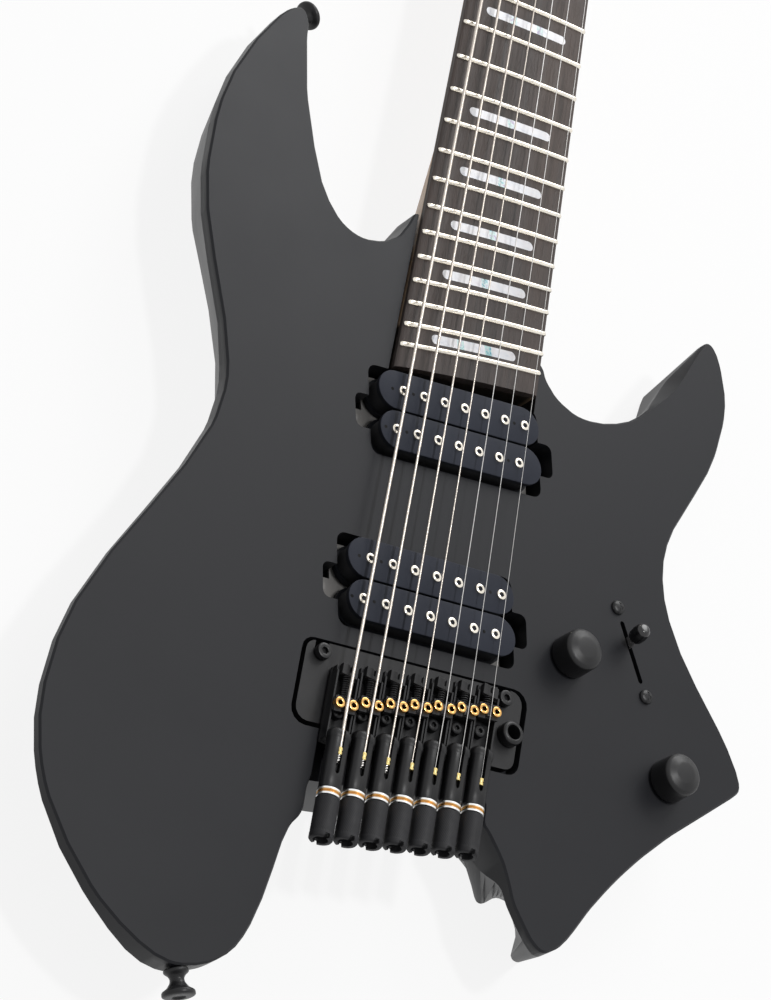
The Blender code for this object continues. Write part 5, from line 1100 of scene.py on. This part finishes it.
def make_springs():
    """Three coil springs from the claw to the block, bent across the tilt of the bridge."""
    z = SPRING_HEIGHT
    for number in range(3):
        x = (number - 1) * SPRING_GAP
        near = on_slant(x, -4.0)[1] + 0.6
        wire = coil((x, near, z), (x, SPRING_FAR, z), 3.5, 0.6, 42)
        spring = piece(f"return_spring_{number + 1}", [wire], "plain_steel", None,
                       [f"tremolo_spring_{number + 1}"], smooth=80)
        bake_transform(spring)


def make_back():
    """Countersunk cross screws that hold the two covers in the back."""
    dome = [(0, 0.9), (1.3, 0.9), (1.35, 0.02), (2.2, 0.0), (2.4, 0.15), (2.4, 1.2), (0, 1.2)]
    screws = [lathe(dome, (x, y, 0), UP, 48, "oxxoooo") for x, y in COVER_SCREWS]
    piece("cover_screws", screws, "black_metal", "instrument")


# ---- stage

def seen_rays(tree, share=1.0):
    """1 for glossy and transmission rays, the share for camera rays and 0 for all others."""
    rays = tree.nodes.new("ShaderNodeLightPath")
    total = step_in(tree, "ShaderNodeMath", Value=rays.outputs["Is Camera Ray"])
    total.operation = "MULTIPLY"
    total.inputs[1].default_value = share
    for label in ("Is Glossy Ray", "Is Transmission Ray"):
        total = step_in(tree, "ShaderNodeMath", Value=total.outputs["Value"])
        total.use_clamp = True
        tree.links.new(rays.outputs[label], total.inputs[1])
    return total.outputs["Value"]


def mixed(tree, share, first, second):
    node = step_in(tree, "ShaderNodeMixShader", Fac=share)
    tree.links.new(first.outputs[0], node.inputs[1])
    tree.links.new(second.outputs[0], node.inputs[2])
    return node


def make_floor():
    """A pale floor that keeps the shadow and is clear from below."""
    mesh = bpy.data.meshes.new("floor")
    corners = [(x * FLOOR_REACH, y * FLOOR_REACH, FLOOR_HEIGHT)
               for x, y in ((-1, -1), (1, -1), (1, 1), (-1, 1))]
    mesh.from_pydata(corners, [], [(0, 1, 2, 3)])
    floor = bpy.data.objects.new("floor", mesh)
    bpy.context.scene.collection.objects.link(floor)
    material = bpy.data.materials.new("Pale floor")
    material.use_nodes = True
    tree = material.node_tree
    tree.nodes.clear()
    matt = step_in(tree, "ShaderNodeBsdfDiffuse", Color=(0.9, 0.9, 0.9, 1))
    glow = step_in(tree, "ShaderNodeEmission", Color=(1, 1, 1, 1), Strength=1.0)
    below = tree.nodes.new("ShaderNodeNewGeometry").outputs["Backfacing"]
    above = mixed(tree, seen_rays(tree, FLOOR_GLOW), matt, glow)
    sides = mixed(tree, below, above, tree.nodes.new("ShaderNodeBsdfTransparent"))
    out = tree.nodes.new("ShaderNodeOutputMaterial")
    tree.links.new(sides.outputs["Shader"], out.inputs["Surface"])
    mesh.materials.append(material)


def placed(name, thing, axes, place):
    """A lamp or camera at a place in metres. axes has its own three axes as columns."""
    made = bpy.data.objects.new(name, thing)
    bpy.context.scene.collection.objects.link(made)
    made.matrix_world = Matrix([[*axes[row], place[row]] for row in range(3)] + [[0, 0, 0, 1]])
    return made


def make_stage():
    """The floor, a white world for the camera and for gloss, two soft lamps and the camera."""
    scene = bpy.context.scene
    scene.view_settings.view_transform = "Standard"
    make_floor()
    scene.world = bpy.data.worlds.new("Studio")
    scene.world.use_nodes = True
    tree = scene.world.node_tree
    back = tree.nodes["Background"]
    back.inputs["Color"].default_value = (1, 1, 1, 1)
    level = step_in(tree, "ShaderNodeMapRange", Value=seen_rays(tree), To_Min=ROOM_LIGHT)
    tree.links.new(level.outputs["Result"], back.inputs["Strength"])
    for name, place, size_across, power in LAMPS:
        lamp = bpy.data.lights.new(name, "AREA")
        lamp.energy = power
        lamp.size = size_across
        placed(name, lamp, basis(np.array(place) - LAMP_AIM), place)
    camera = bpy.data.cameras.new("camera")
    camera.lens = CAMERA_LENS
    camera.sensor_width = CAMERA_SENSOR
    camera.clip_end = CAMERA_FAR
    axes = np.stack([CAMERA_RIGHT, -np.array(CAMERA_DOWN), -np.array(CAMERA_AHEAD)], axis=1)
    scene.camera = placed("camera", camera, axes, np.array(CAMERA_PLACE) * MM)


# ---- settings, operators and panel

def length_setting(name, default, description):
    return bpy.props.FloatProperty(name=name, description=description, default=default,
                                   unit="LENGTH")


def colour_setting(name, default, description):
    return bpy.props.FloatVectorProperty(name=name, description=description, default=default,
                                         subtype="COLOR")


class GuitarSizes(bpy.types.PropertyGroup):
    """Sizes that a user would change."""

    fret_width: length_setting("Fret width", 0.0023, "Width of a fret wire's crown")
    fret_height: length_setting("Fret height", 0.00115, "How far a fret stands out of the board")
    inlay_length: length_setting("Inlay length", 0.0425, "Length of a pearl bar")
    inlay_width: length_setting("Inlay width", 0.0043, "Width of a pearl bar")
    pole_radius: length_setting("Pole radius", 0.00215, "Radius of a pickup pole's head")
    slot_width: length_setting("Barrel slot", 0.0024, "Width of the slot in a tuner barrel")
    knurl_depth: length_setting("Knurl depth", 0.00022, "Depth of the grip on a tuner knob")


class GuitarColours(bpy.types.PropertyGroup):
    """Colours that a user would change."""

    body: colour_setting("Body", (0.0125, 0.013, 0.0155), "Lacquer on the body")
    black_metal: colour_setting("Black metal", (0.010, 0.010, 0.011), "Plated bridge and knobs")
    gold: colour_setting("Gold", (0.66, 0.38, 0.13), "Height screws and washers")
    poles: colour_setting("Poles", (0.84, 0.79, 0.70), "Frets and pickup poles")
    nickel: colour_setting("Nickel", (0.72, 0.70, 0.68), "Baseplates, selector blade and socket")
    bobbin: colour_setting("Bobbins", (0.020, 0.022, 0.029), "Plastic of the pickups")
    maple: colour_setting("Neck", (0.68, 0.48, 0.32), "Wood of the neck")
    board_dark: colour_setting("Board, dark", (0.018, 0.0148, 0.013), "Dark streaks in the wood")
    board_light: colour_setting("Board, light", (0.047, 0.036, 0.031), "Light streaks in the wood")


class GUITAR_OT_solids(bpy.types.Operator):
    """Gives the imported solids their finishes"""

    bl_idname = "guitar.solids"
    bl_label = "Body, neck and plates"

    def execute(self, context):
        for label, nodes in DRESSED.items():
            for node in nodes:
                dress(node, finished(label))
        return {"FINISHED"}


class GUITAR_OT_fingerboard(bpy.types.Operator):
    """Makes the fingerboard, its frets and its inlays"""

    bl_idname = "guitar.fingerboard"
    bl_label = "Fingerboard"

    def execute(self, context):
        make_board()
        make_frets()
        make_inlays()
        return {"FINISHED"}


class GUITAR_OT_pickups(bpy.types.Operator):
    """Makes the two slanted pickups"""

    bl_idname = "guitar.pickups"
    bl_label = "Pickups"

    def execute(self, context):
        for name in PICKUPS:
            make_pickup(name)
        return {"FINISHED"}


class GUITAR_OT_tremolo(bpy.types.Operator):
    """Makes the tremolo's screws, arm collar, troughs, barrels and springs"""

    bl_idname = "guitar.tremolo"
    bl_label = "Tremolo"

    def execute(self, context):
        make_studs()
        make_arm_socket()
        make_modules()
        make_springs()
        return {"FINISHED"}


class GUITAR_OT_saddles(bpy.types.Operator):
    """Makes the saddles with their screws and springs"""

    bl_idname = "guitar.saddles"
    bl_label = "Saddles"

    def execute(self, context):
        make_saddles()
        return {"FINISHED"}


class GUITAR_OT_tuners(bpy.types.Operator):
    """Makes the tuner knobs and what holds the string ends"""

    bl_idname = "guitar.tuners"
    bl_label = "Tuners"

    def execute(self, context):
        make_tuners()
        make_string_ends()
        return {"FINISHED"}


class GUITAR_OT_strings(bpy.types.Operator):
    """Makes the strings"""

    bl_idname = "guitar.strings"
    bl_label = "Strings"

    def execute(self, context):
        make_strings()
        return {"FINISHED"}


class GUITAR_OT_controls(bpy.types.Operator):
    """Makes the knobs, the selector, the strap buttons and the output socket"""

    bl_idname = "guitar.controls"
    bl_label = "Controls and fittings"

    def execute(self, context):
        make_control_knobs()
        make_selector()
        make_fittings()
        make_back()
        return {"FINISHED"}


class GUITAR_OT_stage(bpy.types.Operator):
    """Makes the floor, the lamps, the world and the camera"""

    bl_idname = "guitar.stage"
    bl_label = "Stage"

    def execute(self, context):
        make_stage()
        return {"FINISHED"}


OPERATORS = (GUITAR_OT_solids, GUITAR_OT_fingerboard, GUITAR_OT_pickups, GUITAR_OT_tremolo,
             GUITAR_OT_saddles, GUITAR_OT_tuners, GUITAR_OT_strings, GUITAR_OT_controls,
             GUITAR_OT_stage)


class GUITAR_PT_panel(bpy.types.Panel):
    """The guitar's steps, sizes and colours"""

    bl_label = "Guitar"
    bl_idname = "GUITAR_PT_panel"
    bl_space_type = "VIEW_3D"
    bl_region_type = "UI"
    bl_category = "Guitar"

    def draw(self, context):
        for operator in OPERATORS:
            self.layout.operator(operator.bl_idname)
        for group in (context.scene.guitar_sizes, context.scene.guitar_colours):
            for name in group.__annotations__:
                self.layout.prop(group, name)


CLASSES = (GuitarSizes, GuitarColours, *OPERATORS, GUITAR_PT_panel)


def register():
    for made in CLASSES:
        bpy.utils.register_class(made)
    bpy.types.Scene.guitar_sizes = bpy.props.PointerProperty(type=GuitarSizes)
    bpy.types.Scene.guitar_colours = bpy.props.PointerProperty(type=GuitarColours)


def unregister():
    del bpy.types.Scene.guitar_sizes
    del bpy.types.Scene.guitar_colours
    for made in reversed(CLASSES):
        bpy.utils.unregister_class(made)


def main():
    register()
    for operator in OPERATORS:
        group, name = operator.bl_idname.split(".")
        getattr(getattr(bpy.ops, group), name)()
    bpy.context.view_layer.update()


if __name__ == "__main__":
    main()
